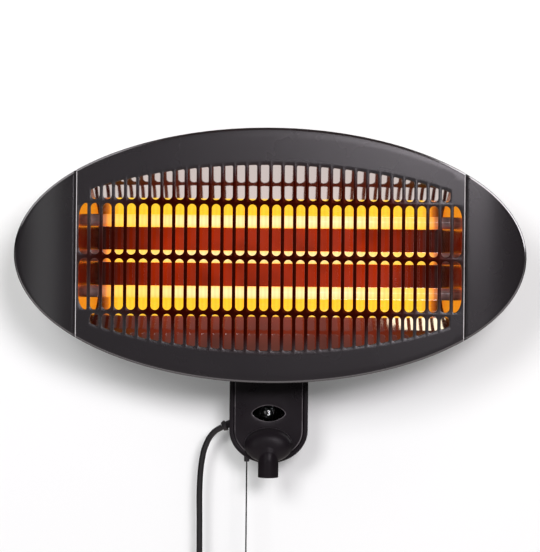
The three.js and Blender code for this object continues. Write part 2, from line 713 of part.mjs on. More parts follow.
// The box's outline drawn in by an inset: straight sides, small top corners, half an oval below.
function boxOutline(inset) {
  const half = BOX_HALF - inset;
  const top = BOX_TOP_Z - inset;
  const corner = Math.max(BOX_CORNER - inset, 1);
  const spring = BOX_BOTTOM_Z + BOX_ROUND_HEIGHT;
  const outline = [];
  for (let i = 0; i <= CORNER_STEPS; i += 1) {
    const angle = (Math.PI / 2) * (i / CORNER_STEPS);
    outline.push([half - corner + corner * Math.cos(angle), top - corner + corner * Math.sin(angle)]);
  }
  const mirrored = outline.map(([x, z]) => [-x, z]).reverse();
  outline.push(...mirrored);
  for (let i = 0; i <= ROUND_STEPS; i += 1) {
    const angle = Math.PI * (1 + i / ROUND_STEPS);
    outline.push([half * Math.cos(angle), spring + (BOX_ROUND_HEIGHT - inset) * Math.sin(angle)]);
  }
  return polygon(outline);
}

const GLAND_WAY = new THREE.Vector3(-1, 0, 0).applyAxisAngle(
  new THREE.Vector3(0, 1, 0),
  -THREE.MathUtils.degToRad(GLAND_TILT),
);
const GLAND_FOOT = new THREE.Vector3(-BOX_HALF, LEAD_Y, GLAND_Z);
const GLAND_NECK = 3.7;
const GLAND_OUT = 8.3;
const EYELET_RADIUS = 2.7;
const NECK_HALF = 9;
const BOX_GROMMET = [BOX_SCREW_X, -15];

// A piece modelled along +Y from its foot, stood on the gland's place and pointing the gland's way.
function onGland(geometry) {
  const turn = new THREE.Quaternion().setFromUnitVectors(new THREE.Vector3(0, 1, 0), GLAND_WAY);
  return geometry.applyQuaternion(turn).translate(GLAND_FOOT.x, GLAND_FOOT.y, GLAND_FOOT.z);
}

function boxRear() {
  let body = solid(extrudeY(boxOutline(0), BOX_FRONT_Y, BOX_BACK_Y));
  const [yNear, yFar] = [PIVOT_Y - NECK_HALF, PIVOT_Y + NECK_HALF];
  const neck = boxAt(-BARREL_HALF, BARREL_HALF, yNear, yFar, BOX_TOP_Z - 4, PIVOT_Z);
  body = body.add(solid(neck));
  const barrel = rod(BARREL_RADIUS, -BARREL_HALF, BARREL_HALF, 'x', 36);
  body = body.add(solid(barrel.translate(0, PIVOT_Y, PIVOT_Z)));
  const cavity = extrudeY(boxOutline(BOX_WALL), BOX_FRONT_Y + BOX_WALL, BOX_BACK_Y - BOX_WALL);
  body = body.subtract(solid(cavity));
  body = body.subtract(solid(extrudeY(boxOutline(BOX_RIM), BOX_FRONT_Y - 1, BOX_FRONT_Y + 4)));
  const bore = rod(PIVOT_HOLE, -BARREL_HALF - 1, BARREL_HALF + 1, 'x', 20).translate(0, PIVOT_Y, PIVOT_Z);
  body = body.subtract(solid(bore));
  body = body.subtract(solid(onGland(rod(GLAND_NECK + FIT, -8, 6, 'y', 16))));
  const eyelet = rod(EYELET_RADIUS + FIT, BOX_BOTTOM_Z - 2, BOX_BOTTOM_Z + 16, 'z', 16);
  body = body.subtract(solid(eyelet.translate(CORD_X, STRING_Y, 0)));
  const outlet = rod(GROMMET_RADIUS + FIT, BOX_TOP_Z - 6, BOX_TOP_Z + 6, 'z', 20);
  body = body.subtract(solid(outlet.translate(BOX_GROMMET[0], BOX_GROMMET[1], 0)));
  for (const side of [-1, 1]) {
    const hole = rod(SCREW_HOLE, BOX_BACK_Y - 6, BOX_BACK_Y + 2, 'y', 10);
    body = body.subtract(solid(hole.translate(side * BOX_SCREW_X, 0, BOX_SCREW_Z)));
  }
  return toGeometry(body);
}

// The eye-shaped opening: two arcs that meet in points left and right.
function eyeShape(grow) {
  const half = EYE_WIDTH / 2 + grow * 1.6;
  const rise = EYE_HEIGHT / 2 + grow;
  const shape = new THREE.Shape();
  shape.moveTo(half, EYE_Z);
  shape.quadraticCurveTo(0, EYE_Z + 2 * rise, -half, EYE_Z);
  shape.quadraticCurveTo(0, EYE_Z - 2 * rise, half, EYE_Z);
  return shape;
}

const EYE_CURVE = 8;

function boxFront() {
  const skirtBack = COVER_FRONT_Y + COVER_SKIRT;
  const bevel = 0.8;
  const outline = boxOutline(COVER_INSET);
  const plate = solid(extrudeY(outline, COVER_FRONT_Y + bevel, skirtBack));
  const lip = solid(extrudeY(boxOutline(COVER_INSET + bevel), COVER_FRONT_Y, COVER_FRONT_Y + 2));
  const hollow = extrudeY(
    boxOutline(COVER_INSET + COVER_SHEET), COVER_FRONT_Y + COVER_SHEET, skirtBack + 1);
  const eye = extrudeY(eyeShape(0), COVER_FRONT_Y - 1, COVER_FRONT_Y + COVER_SHEET + 1, EYE_CURVE);
  return toGeometry(plate.add(lip).subtract(solid(hollow)).subtract(solid(eye)));
}

addPiece(heater, 'box_rear', boxRear(), 0x161416, 0.4);
addPiece(heater, 'box_front', boxFront(), 0x1a171b, 0.35);
addPiece(
  heater, 'window_lens',
  extrudeY(eyeShape(1.5), LENS_FRONT_Y, LENS_FRONT_Y + LENS_THICKNESS, EYE_CURVE), 0xffffff, 0.05);
for (const [name, side] of [['box_screw_left', -1], ['box_screw_right', 1]]) {
  const seat = BOX_BACK_Y - BOX_WALL - FIT;
  const screw = panScrew(seat, -1, BOX_WALL + PLATE_THICKNESS).translate(side * BOX_SCREW_X, 0, BOX_SCREW_Z);
  addPiece(heater, name, screw, 0xb8b8b8, 0.35, 1);
}

// The box's grommet lies in its top wall, so it's the head's one turned upright.
function boxGrommet() {
  const upright = grommetAt(0, -BOX_WALL, 0, 0).rotateX(Math.PI / 2);
  return upright.translate(BOX_GROMMET[0], BOX_GROMMET[1], BOX_TOP_Z);
}

addPiece(heater, 'box_grommet', boxGrommet(), 0x111111, 0.8);

// ---------------------------------------------------------------- pole socket

// A low dome on the cover that runs down into an open tube in front of the box's lower rim.
function poleSocket() {
  const base = COVER_FRONT_Y - FIT;
  const dome = new THREE.SphereGeometry(1, 24, 12).scale(BOSS_HALF_WIDTH, BOSS_RISE, BOSS_HALF_HEIGHT);
  const tube = rod(SOCKET_RADIUS, SOCKET_END_Z, BOSS_Z, 'z', 24).translate(0, SOCKET_AXIS_Y, 0);
  const round = new THREE.SphereGeometry(SOCKET_RADIUS, 24, 12).translate(0, SOCKET_AXIS_Y, BOSS_Z);
  let body = solid(dome.translate(0, base, BOSS_Z)).add(solid(tube)).add(solid(round));
  const behind = extrudeY(boxOutline(-FIT), base, 0);
  body = body.subtract(solid(behind));
  const side = BOSS_HALF_WIDTH + 1;
  const below = boxAt(-side, side, base, 0, BOX_BOTTOM_Z - 30, BOX_BOTTOM_Z + 10);
  const keep = solid(rod(SOCKET_RADIUS, SOCKET_END_Z, BOX_BOTTOM_Z, 'z', 24).translate(0, SOCKET_AXIS_Y, 0));
  body = body.subtract(solid(below).subtract(keep));
  const bore = rod(SOCKET_BORE, SOCKET_END_Z - 1, SOCKET_END_Z + SOCKET_DEPTH, 'z', 20);
  return toGeometry(body.subtract(solid(bore.translate(0, SOCKET_AXIS_Y, 0))));
}

addPiece(heater, 'pole_socket', poleSocket(), 0x1a171b, 0.35);

// ---------------------------------------------------------------- switch

const BRACKET_STRIP = 24;
const UPRIGHT_SHEET = 1.5;
const PULLEY_WIDTH = 6;
const PULLEY_TEETH = 6;
const SWITCH_X = DRUM_WIDTH / 2 + 4;
const SWITCH_BLOCK = 20;
const UPRIGHT_CLEARANCE = 4.5;
const LEFT_UPRIGHT_X = CORD_X - PULLEY_WIDTH / 2 - 3.3;
const RIGHT_UPRIGHT_X = BOX_HALF - BOX_WALL - UPRIGHT_CLEARANCE - UPRIGHT_SHEET;
const SWITCH_WIDTH = RIGHT_UPRIGHT_X - FIT - SWITCH_X;
const SHAFT_REACH = 11;

function switchBracket() {
  const back = BOX_BACK_Y - BOX_WALL - FIT;
  const z0 = EYE_Z - BRACKET_STRIP / 2;
  const z1 = EYE_Z + BRACKET_STRIP / 2;
  const left = LEFT_UPRIGHT_X - UPRIGHT_SHEET;
  const right = RIGHT_UPRIGHT_X + UPRIGHT_SHEET;
  const reach = SHAFT_Y - 6;
  let bracket = solid(boxAt(left, right, back - UPRIGHT_SHEET, back, z0, z1));
  bracket = bracket.add(solid(boxAt(left, LEFT_UPRIGHT_X, reach, back, z0, z1)));
  bracket = bracket.add(solid(boxAt(RIGHT_UPRIGHT_X, right, reach, back, z0, z1)));
  const hole = rod(SHAFT_RADIUS + RUN, left - 1, LEFT_UPRIGHT_X + 1, 'x', 16).translate(0, SHAFT_Y, EYE_Z);
  return toGeometry(bracket.subtract(solid(hole)));
}

function switchBody() {
  const y = SWITCH_BLOCK / 2;
  const z = BRACKET_STRIP / 2;
  const block = boxAt(SWITCH_X, SWITCH_X + SWITCH_WIDTH, -y, y, -z, z);
  const hole = rod(SHAFT_RADIUS + RUN, SWITCH_X - 1, SWITCH_X + SHAFT_REACH + 1, 'x', 16);
  return toGeometry(solid(block).subtract(solid(hole))).translate(0, SHAFT_Y, EYE_Z);
}

function numberDrum() {
  const half = DRUM_WIDTH / 2;
  return turned([
    [SHAFT_RADIUS + FIT, -half], [DRUM_RADIUS - 0.5, -half], [DRUM_RADIUS, -half + 0.5],
    [DRUM_RADIUS, half - 0.5], [DRUM_RADIUS - 0.5, half], [SHAFT_RADIUS + FIT, half],
    [SHAFT_RADIUS + FIT, -half],
  ], 'x', 20).translate(0, SHAFT_Y, EYE_Z);
}

function switchShaft() {
  return rod(SHAFT_RADIUS, LEFT_UPRIGHT_X - UPRIGHT_SHEET - 1, SWITCH_X + SHAFT_REACH, 'x', 16)
    .translate(0, SHAFT_Y, EYE_Z);
}

// The pulley's groove leaves the cord its own clearance, with a toothed crown on the drum's side.
function ratchetPulley() {
  const groove = PULL_RADIUS - STRING_DIAMETER / 2 - RUN;
  const rim = PULL_RADIUS + 2;
  const bore = SHAFT_RADIUS + RUN;
  const half = PULLEY_WIDTH / 2;
  const slack = STRING_DIAMETER / 2 + 0.45;
  let pulley = solid(turned([
    [bore, -half], [rim, -half], [rim, -slack], [groove, -slack],
    [groove, slack], [rim, slack], [rim, half], [bore, half], [bore, -half],
  ], 'x', 18));
  for (let i = 0; i < PULLEY_TEETH; i += 1) {
    const notch = boxAt(half - 1, half + 1, rim - 3, rim + 1, -1.2, 1.2);
    pulley = pulley.subtract(solid(notch.rotateX((i * 2 * Math.PI) / PULLEY_TEETH)));
  }
  return toGeometry(pulley).translate(CORD_X, SHAFT_Y, EYE_Z);
}

addPiece(heater, 'switch_bracket', switchBracket(), 0xa9abad, 0.4, 0.9);
addPiece(heater, 'switch_body', switchBody(), 0x2a211b, 0.5);
addPiece(heater, 'number_drum', numberDrum(), 0x141214, 0.5);
addPiece(heater, 'switch_shaft', switchShaft(), 0xb0b0b0, 0.35, 1);
addPiece(heater, 'ratchet_pulley', ratchetPulley(), 0xd8d4cc, 0.5);

// ---------------------------------------------------------------- swept tubes

function circleShape(radius, sides) {
  const points = [];
  for (let i = 0; i < sides; i += 1) {
    const angle = (2 * Math.PI * i) / sides;
    points.push([radius * Math.cos(angle), radius * Math.sin(angle)]);
  }
  return polygon(points);
}

function sweep(path, diameter, sides, steps) {
  return new THREE.ExtrudeGeometry(circleShape(diameter / 2, sides), { extrudePath: path, steps });
}

// A torsion spring round the shaft, with one straight leg that ends on the bracket's web.
const SPRING_RADIUS = 6;
const SPRING_WIRE = 0.9;
const SPRING_PITCH = 1.7;
const SPRING_START_X = CORD_X + PULLEY_WIDTH / 2 + 1.2;
const SPRING_END_X = -DRUM_WIDTH / 2 - 4;

class SpringPath extends THREE.Curve {
  getPoint(share) {
    const turns = (SPRING_END_X - SPRING_START_X) / SPRING_PITCH;
    const leg = 0.16;
    const web = BOX_BACK_Y - BOX_WALL - FIT - UPRIGHT_SHEET - FIT;
    if (share < leg) {
      const y = THREE.MathUtils.lerp(web, SHAFT_Y, share / leg);
      return new THREE.Vector3(SPRING_START_X, y, EYE_Z - SPRING_RADIUS);
    }
    const wound = (share - leg) / (1 - leg);
    const angle = -Math.PI / 2 - wound * turns * 2 * Math.PI;
    const x = SPRING_START_X + wound * turns * SPRING_PITCH;
    const y = SHAFT_Y + SPRING_RADIUS * Math.cos(angle);
    return new THREE.Vector3(x, y, EYE_Z + SPRING_RADIUS * Math.sin(angle));
  }
}

addPiece(heater, 'return_spring', sweep(new SpringPath(), SPRING_WIRE, 5, 52), 0xc0c0c0, 0.3, 1);

// ---------------------------------------------------------------- pull cord

const STRING_TOP_Z = EYE_Z + 2;
const BELL_TOP_Z = STRING_END_Z + 10;

function cordEyelet() {
  const bore = STRING_DIAMETER / 2 + RUN;
  const drop = BOX_ROUND_HEIGHT * Math.sqrt(1 - (CORD_X / BOX_HALF) ** 2);
  const skin = BOX_BOTTOM_Z + BOX_ROUND_HEIGHT - drop;
  return turned([
    [bore, skin - 4], [EYELET_RADIUS - 0.5, skin - 4], [EYELET_RADIUS, skin - 3.5],
    [EYELET_RADIUS, skin + 4], [bore, skin + 4], [bore, skin - 4],
  ], 'z', 12).translate(CORD_X, STRING_Y, 0);
}

function pullCord() {
  const path = new THREE.LineCurve3(
    new THREE.Vector3(CORD_X, STRING_Y, STRING_TOP_Z),
    new THREE.Vector3(CORD_X, STRING_Y, STRING_END_Z),
  );
  return sweep(path, STRING_DIAMETER, 8, 28);
}

// A bell-shaped pull with a blind bore for the cord's knot.
function pullKnob() {
  const bore = STRING_DIAMETER / 2 + FIT;
  const low = BELL_TOP_Z - BELL_LENGTH;
  return turned([
    [0, low], [BELL_RADIUS - 1, low], [BELL_RADIUS, low + 1.5], [BELL_RADIUS * 0.93, low + 8],
    [BELL_RADIUS * 0.6, low + 18], [BELL_RADIUS * 0.42, BELL_TOP_Z - 2], [2.6, BELL_TOP_Z],
    [bore, BELL_TOP_Z], [bore, STRING_END_Z - FIT], [0, STRING_END_Z - FIT],
  ], 'z', 16).translate(CORD_X, STRING_Y, 0);
}

addPiece(heater, 'cord_eyelet', cordEyelet(), 0x121112, 0.5);
addPiece(heater, 'pull_cord', pullCord(), 0x1b1a1a, 0.7);
addPiece(heater, 'pull_knob', pullKnob(), 0x161416, 0.45);

// ---------------------------------------------------------------- mains lead

function cableGland() {
  return onGland(turned([
    [0, -5], [GLAND_NECK, -5], [GLAND_NECK, 3.6], [5.3, 3.9],
    [5.3, 5.4], [4.3, GLAND_OUT], [0, GLAND_OUT],
  ], 'y', 16));
}

// The free stretch: from the gland over the hanging line to the place where the coil takes over.
const LEAD_START = GLAND_FOOT.clone().addScaledVector(GLAND_WAY, GLAND_OUT + FIT);
const HANG_OUT = 29.8;       // the hanging line beside the box's left side
const HANG_END_Z = -198;
const BEND_RADIUS = 27;
const BEND_ANGLE = THREE.MathUtils.degToRad(68.7);
const ROUTE = [              // distances beside the box's left side, and heights
  [14.5, -68.3], [18.6, -72.5], [21.6, -77], [23.9, -82.1], [26, -88],
  [28.1, -98.6], [29.5, -110.8], [30.3, -130], [30, -160], [HANG_OUT, -190],
];
const COIL_WAY = new THREE.Vector3(Math.sin(BEND_ANGLE), 0, -Math.cos(BEND_ANGLE));

function leadPath() {
  const points = [LEAD_START, ...ROUTE.map(([out, z]) => new THREE.Vector3(-BOX_HALF - out, LEAD_Y, z))];
  const bendSteps = 5;
  for (let i = 0; i <= bendSteps; i += 1) {
    const angle = (BEND_ANGLE * i) / bendSteps;
    const x = -BOX_HALF - HANG_OUT + BEND_RADIUS * (1 - Math.cos(angle));
    points.push(new THREE.Vector3(x, LEAD_Y, HANG_END_Z - BEND_RADIUS * Math.sin(angle)));
  }
  return new THREE.CatmullRomCurve3(points, false, 'centripetal');
}

// The put-away length: one unbroken tube that spirals in, climbs to a second layer and spirals out. Both
// ends run straight for one diameter.
const COIL_STEPS_PER_TURN = 24;
const COIL_SIDES = 6;
const LAYER_STEP = COIL_PITCH;
const COIL_FACE = leadPath().getPoint(1).addScaledVector(COIL_WAY, FIT);
const COIL_JOIN = COIL_FACE.clone().addScaledVector(COIL_WAY, LEAD_DIAMETER);
const COIL_CENTRE = new THREE.Vector3(
  COIL_JOIN.x - COIL_START_RADIUS * Math.cos(BEND_ANGLE),
  LEAD_Y,
  COIL_JOIN.z - COIL_START_RADIUS * Math.sin(BEND_ANGLE),
);

class CoilPath extends THREE.Curve {
  getPoint(share) {
    const turnLength = 2 * Math.PI * (COIL_START_RADIUS - (COIL_PITCH * COIL_TURNS) / 4);
    const straight = LEAD_DIAMETER / (2 * LEAD_DIAMETER + turnLength * COIL_TURNS);
    if (share < straight) return COIL_FACE.clone().lerp(COIL_JOIN, share / straight);
    const turns = (COIL_TURNS * Math.min(share - straight, 1 - 2 * straight)) / (1 - 2 * straight);
    const radius = COIL_START_RADIUS - COIL_PITCH * Math.min(turns, COIL_TURNS - turns);
    const climb = THREE.MathUtils.smoothstep(turns, COIL_TURNS / 2 - 0.25, COIL_TURNS / 2 + 0.25);
    const angle = BEND_ANGLE - 2 * Math.PI * turns;
    const point = new THREE.Vector3(
      COIL_CENTRE.x + radius * Math.cos(angle),
      LEAD_Y + LAYER_STEP * climb,
      COIL_CENTRE.z + radius * Math.sin(angle),
    );
    const past = (share - (1 - straight)) / straight;
    if (past > 0) point.z -= past * LEAD_DIAMETER;
    return point;
  }
}

const COIL_END_X = COIL_CENTRE.x + COIL_START_RADIUS;
const COIL_END_Y = LEAD_Y + LAYER_STEP;
const COIL_END_Z = COIL_CENTRE.z - LEAD_DIAMETER;

// The coil's least gap to itself, measured on points more than half a turn apart along it.
function coilGap(path) {
  const count = 900;
  const points = path.getSpacedPoints(count);
  const apart = Math.ceil(count / COIL_TURNS / 2);
  let least = Infinity;
  for (let i = 0; i < points.length; i += 1) {
    for (let j = i + apart; j < points.length; j += 1) {
      least = Math.min(least, points[i].distanceTo(points[j]));
    }
  }
  return least - LEAD_DIAMETER;
}

// A strap round the bundle at the upper left of the coil.
function cordTie() {
  const slack = 0.8;
  const thickness = 1.2;
  const width = 9;
  const place = THREE.MathUtils.degToRad(125);
  const inner = COIL_START_RADIUS - (COIL_PITCH * COIL_TURNS) / 2 - LEAD_DIAMETER / 2 + 0.4;
  const outer = COIL_START_RADIUS - 2 + LEAD_DIAMETER / 2 + slack;
  const front = LEAD_Y - LEAD_DIAMETER / 2 - FIT;
  const back = LEAD_Y + LAYER_STEP + LEAD_DIAMETER / 2 + FIT;
  const hull = solid(boxAt(
    inner - thickness, outer + thickness, front - thickness, back + thickness, -width / 2, width / 2));
  const way = solid(boxAt(inner, outer, front, back, -width, width));
  const strap = toGeometry(hull.subtract(way));
  return strap.rotateY(-place).translate(COIL_CENTRE.x, 0, COIL_CENTRE.z);
}

function leadTail() {
  const top = COIL_END_Z - FIT;
  const path = new THREE.LineCurve3(
    new THREE.Vector3(COIL_END_X, COIL_END_Y, top),
    new THREE.Vector3(COIL_END_X, COIL_END_Y, top - LEAD_TAIL),
  );
  return sweep(path, LEAD_DIAMETER, 10, 4);
}

const PLUG_TOP_Z = COIL_END_Z - LEAD_TAIL - 2 * FIT;
const PLUG_SLEEVE = 14;
const PLUG_BODY = 34;
const PLUG_FACE_Z = PLUG_TOP_Z - PLUG_SLEEVE - PLUG_BODY;

function plugBody() {
  const shoulder = PLUG_TOP_Z - PLUG_SLEEVE;
  return turned([
    [0, PLUG_FACE_Z], [PLUG_HALF_WIDTH - 1, PLUG_FACE_Z], [PLUG_HALF_WIDTH, PLUG_FACE_Z + 1],
    [PLUG_HALF_WIDTH, PLUG_FACE_Z + 10], [PLUG_HALF_WIDTH * 0.8, PLUG_FACE_Z + 20], [9, shoulder - 4],
    [6, shoulder], [5.4, PLUG_TOP_Z - 6], [4.2, PLUG_TOP_Z], [0, PLUG_TOP_Z],
  ], 'z', 20)
    .scale(1, PLUG_THICKNESS / (2 * PLUG_HALF_WIDTH), 1)
    .translate(COIL_END_X, COIL_END_Y, 0);
}

// A flat pin below the plug's face, turned about its own upright axis.
function plugPin(x, y, turnDegrees, length) {
  const pin = boxAt(-3.15, 3.15, -0.8, 0.8, -length, 0);
  return pin
    .rotateZ(THREE.MathUtils.degToRad(turnDegrees))
    .translate(COIL_END_X + x, COIL_END_Y + y, PLUG_FACE_Z - FIT);
}

const coilPath = new CoilPath();
const coilSteps = Math.ceil(COIL_TURNS * COIL_STEPS_PER_TURN);
console.log(`least gap of the coil to itself: ${coilGap(coilPath).toFixed(2)} mm`);
const [freeLength, coilLength] = [leadPath().getLength(), coilPath.getLength()];
console.log(`lead: free ${freeLength.toFixed(0)} mm, coil ${coilLength.toFixed(0)} mm`);

addPiece(heater, 'cable_gland', cableGland(), 0x151415, 0.5);
addPiece(heater, 'power_cord', sweep(leadPath(), LEAD_DIAMETER, 10, 20), 0x171616, 0.5);
addPiece(heater, 'power_cord_coil', sweep(coilPath, LEAD_DIAMETER, COIL_SIDES, coilSteps), 0x171616, 0.5);
addPiece(heater, 'power_cord_tail', leadTail(), 0x171616, 0.5);
addPiece(heater, 'cord_tie', cordTie(), 0x101010, 0.8);
addPiece(heater, 'plug_body', plugBody(), 0x151415, 0.45);
addPiece(heater, 'plug_pin_left', plugPin(-6.9, 3, 60, 17), 0xc9b06a, 0.3, 1);
addPiece(heater, 'plug_pin_right', plugPin(6.9, 3, -60, 17), 0xc9b06a, 0.3, 1);
addPiece(heater, 'plug_pin_earth', plugPin(0, -7, 90, 20), 0xc9b06a, 0.3, 1);

export default heater;
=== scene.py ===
import math

import bmesh
import bpy
import numpy as np
from mathutils import Matrix, Vector


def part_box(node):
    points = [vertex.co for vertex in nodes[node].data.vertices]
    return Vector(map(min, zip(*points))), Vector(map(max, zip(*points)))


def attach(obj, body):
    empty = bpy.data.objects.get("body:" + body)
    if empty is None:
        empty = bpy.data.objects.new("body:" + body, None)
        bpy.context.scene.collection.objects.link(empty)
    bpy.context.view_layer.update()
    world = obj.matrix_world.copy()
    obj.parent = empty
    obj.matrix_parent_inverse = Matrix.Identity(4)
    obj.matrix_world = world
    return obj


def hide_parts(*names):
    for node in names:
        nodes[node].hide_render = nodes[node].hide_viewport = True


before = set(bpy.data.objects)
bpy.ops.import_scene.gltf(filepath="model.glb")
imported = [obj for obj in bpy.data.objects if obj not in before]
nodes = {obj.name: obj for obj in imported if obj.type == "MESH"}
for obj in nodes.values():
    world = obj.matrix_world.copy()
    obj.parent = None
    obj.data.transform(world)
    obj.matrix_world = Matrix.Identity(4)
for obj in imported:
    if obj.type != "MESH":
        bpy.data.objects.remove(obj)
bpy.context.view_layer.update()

MM = 0.001

# ---------------------------------------------------------------- camera, wall and lamps
# The heater hangs on a white wall and is seen square on from two metres, 2 cm below the middle of its
# head. The wall shows only from its room side, so the back can be looked at too.

VIEW_DISTANCE = 2.0
FACE_Y = -130 * MM
IMAGE_WIDTH = 523.3 * MM         # what the frame takes in at the face's distance
CAMERA_Z = 90 * MM
CAMERA_ROLL = math.radians(0.55)

camera = bpy.data.objects.new("camera", bpy.data.cameras.new("camera"))
bpy.context.collection.objects.link(camera)
camera.data.sensor_fit = "HORIZONTAL"
camera.data.sensor_width = 36
camera.data.lens = 36 * VIEW_DISTANCE / IMAGE_WIDTH
camera.data.clip_start = 0.01
camera.data.clip_end = 50
camera.matrix_world = (
    Matrix.Translation((0, FACE_Y - VIEW_DISTANCE, CAMERA_Z))
    @ Matrix.Rotation(math.radians(90), 4, "X")
    @ Matrix.Rotation(CAMERA_ROLL, 4, "Z")
)
bpy.context.scene.camera = camera


def feed(node, *inputs, **named):
    """Fills a node's inputs, in turn or by name. Another node's output is linked, anything else is set."""
    sockets = [node.inputs[name.replace("_", " ")] for name in named]
    for socket, value in [*zip(node.inputs, inputs), *zip(sockets, named.values())]:
        if isinstance(value, bpy.types.NodeSocket):
            node.id_data.links.new(value, socket)
        else:
            socket.default_value = value


def node_in(tree, kind, *inputs, **settings):
    """A new shader node. A key sets the node's own setting of that name, or else feeds that input."""
    node = tree.nodes.new(kind)
    named = {}
    for key, value in settings.items():
        if hasattr(node, key):
            setattr(node, key, value)
        else:
            named[key] = value
    feed(node, *inputs, **named)
    return node


def calc(tree, operation, *values, **settings):
    """The result of a math node."""
    return node_in(tree, "ShaderNodeMath", *values, operation=operation, **settings).outputs[0]


def ranged(tree, value, low=0, high=1, start=0, stop=1, kind="LINEAR"):
    """A value between low and high carried over to between start and stop, and held there beyond them."""
    carry = node_in(tree, "ShaderNodeMapRange", value, low, high, start, stop, interpolation_type=kind)
    return carry.outputs[0]


def mixed(tree, share, first, second):
    """The colour that lies between two by a share from 0 to 1."""
    first, second = ((*tone, 1) if isinstance(tone, tuple) else tone for tone in (first, second))
    return node_in(tree, "ShaderNodeMix", data_type="RGBA", Factor=share, A=first, B=second).outputs["Result"]


def ramped(tree, value, steps):
    """The colour for a value from 0 to 1, even between (value, colour) steps that begin at 0 and end at 1."""
    ramp = node_in(tree, "ShaderNodeValToRGB", value)
    marks = ramp.color_ramp.elements
    for place, tone in steps[1:-1]:
        marks.new(place)
    for mark, (place, tone) in zip(marks, steps):
        mark.color = (*tone, 1)
    return ramp.outputs["Color"]


def plane(name, corners, material):
    """A flat piece of the room, kept apart from the model."""
    mesh = bpy.data.meshes.new(name)
    mesh.from_pydata([Vector(c) for c in corners], [], [(0, 1, 2, 3)])
    mesh.materials.append(material)
    thing = bpy.data.objects.new(name, mesh)
    bpy.context.collection.objects.link(thing)


def backdrop_paint(name, colour, own_light):
    """Matt paint that the camera and glass see from its front. To every other ray it isn't there. A share
    of its white is its own light, so shadows stay soft and the rest is white."""
    material = bpy.data.materials.new(name)
    material.use_nodes = True
    tree = material.node_tree
    tree.nodes.clear()
    matt = node_in(tree, "ShaderNodeBsdfDiffuse", Color=(*colour, 1))
    glow = node_in(tree, "ShaderNodeEmission", Strength=own_light)
    paint = node_in(tree, "ShaderNodeAddShader", matt.outputs[0], glow.outputs[0])
    clear = node_in(tree, "ShaderNodeBsdfTransparent")
    ray = node_in(tree, "ShaderNodeLightPath").outputs
    behind = node_in(tree, "ShaderNodeNewGeometry").outputs["Backfacing"]
    seen = calc(tree, "MAXIMUM", ray["Is Camera Ray"], ray["Is Transmission Ray"])
    shown = calc(tree, "MULTIPLY", seen, calc(tree, "SUBTRACT", 1, behind))
    surface = node_in(tree, "ShaderNodeMixShader", shown, clear.outputs[0], paint.outputs[0])
    node_in(tree, "ShaderNodeOutputMaterial", Surface=surface.outputs[0])
    return material


WALL_Y = 0.6 * MM                # just behind the wall plate
FLOOR_Z = -0.9
ROOM_SIDE = 3
ROOM_FRONT = -4

wall_paint = backdrop_paint("wall_paint", (0.8, 0.8, 0.8), 0.095)
wall_foot = [(-ROOM_SIDE, WALL_Y, FLOOR_Z), (ROOM_SIDE, WALL_Y, FLOOR_Z)]
plane("wall", [*wall_foot, (ROOM_SIDE, WALL_Y, ROOM_SIDE), (-ROOM_SIDE, WALL_Y, ROOM_SIDE)], wall_paint)
floor_front = [(-ROOM_SIDE, ROOM_FRONT, FLOOR_Z), (ROOM_SIDE, ROOM_FRONT, FLOOR_Z)]
plane("floor", [*floor_front, *wall_foot[::-1]], wall_paint)


def softbox(name, place, aim, size, power, mirrored=True, colour=(1, 1, 1)):
    """A rectangular lamp that aims at a point. One that isn't mirrored lights things but shows in none."""
    lamp = bpy.data.lights.new(name, "AREA")
    lamp.shape = "RECTANGLE"
    lamp.size, lamp.size_y = size
    lamp.energy = power
    lamp.color = colour
    thing = bpy.data.objects.new(name, lamp)
    thing.visible_glossy = mirrored
    thing.location = place
    thing.rotation_euler = (Vector(aim) - Vector(place)).to_track_quat("-Z", "Y").to_euler()
    bpy.context.collection.objects.link(thing)


softbox("key", (0.5, -2.5, 0.65), (0, -0.1, 0.05), (0.6, 0.6), 27, False)
softbox("fill", (-0.7, -2.3, 0.75), (0, -0.1, 0), (0.7, 0.7), 25, False)
softbox("face_sheen", (0.64, -2.5, 0.58), (0.1, -0.13, 0.15), (1.0, 0.35), 15, True, (1, 0.93, 1))
softbox("left_sheen", (-1.15, -2.1, 0.2), (-0.2, -0.13, 0.11), (0.7, 1.0), 3)
softbox("edge_light", (1.15, 0.27, 0.84), (0.18, -0.13, 0.16), (0.5, 1.4), 4.5)
softbox("top_edge", (-0.9, 0.27, 0.95), (-0.1, -0.13, 0.15), (0.5, 1.2), 1.2)
softbox("ceiling_box", (0.62, -0.97, 1.35), (0.1, -0.13, 0.05), (0.8, 0.5), 1.8, True, (1, 0.86, 0.62))
softbox("rear_fill", (0.8, 1.6, 0.9), (0, 0, 0), (1.4, 1.4), 9)

# The room lights things with an even grey. Mirrored in them it is bright below and dark above the
# horizon, and the camera sees plain white.
ROOM_GREY = (0.22, 0.22, 0.22)
SKY_BELOW = (0.74, 0.67, 0.65)
SKY_ABOVE = (0.05, 0.035, 0.035)
SKY_STEPS = [(0.28, 0.62), (0.44, 0.008), (0.56, 0.006), (0.75, 0.02)]  # height's share, brightness
SKY_TINT = (1, 0.92, 0.9)

world = bpy.data.worlds.new("studio")
bpy.context.scene.world = world
world.use_nodes = True
studio = world.node_tree
aim = node_in(studio, "ShaderNodeTexCoord").outputs["Generated"]
height = ranged(studio, node_in(studio, "ShaderNodeSeparateXYZ", aim).outputs["Z"], -1)
steps = [(place, tuple(level * share for share in SKY_TINT)) for place, level in SKY_STEPS]
sky = ramped(studio, height, [(0, SKY_BELOW), *steps, (1, SKY_ABOVE)])
ray = node_in(studio, "ShaderNodeLightPath").outputs
room = mixed(studio, ray["Is Glossy Ray"], ROOM_GREY, sky)
feed(studio.nodes["Background"], Color=mixed(studio, ray["Is Camera Ray"], room, (1, 1, 1)))
bpy.context.scene.view_settings.view_transform = "Standard"

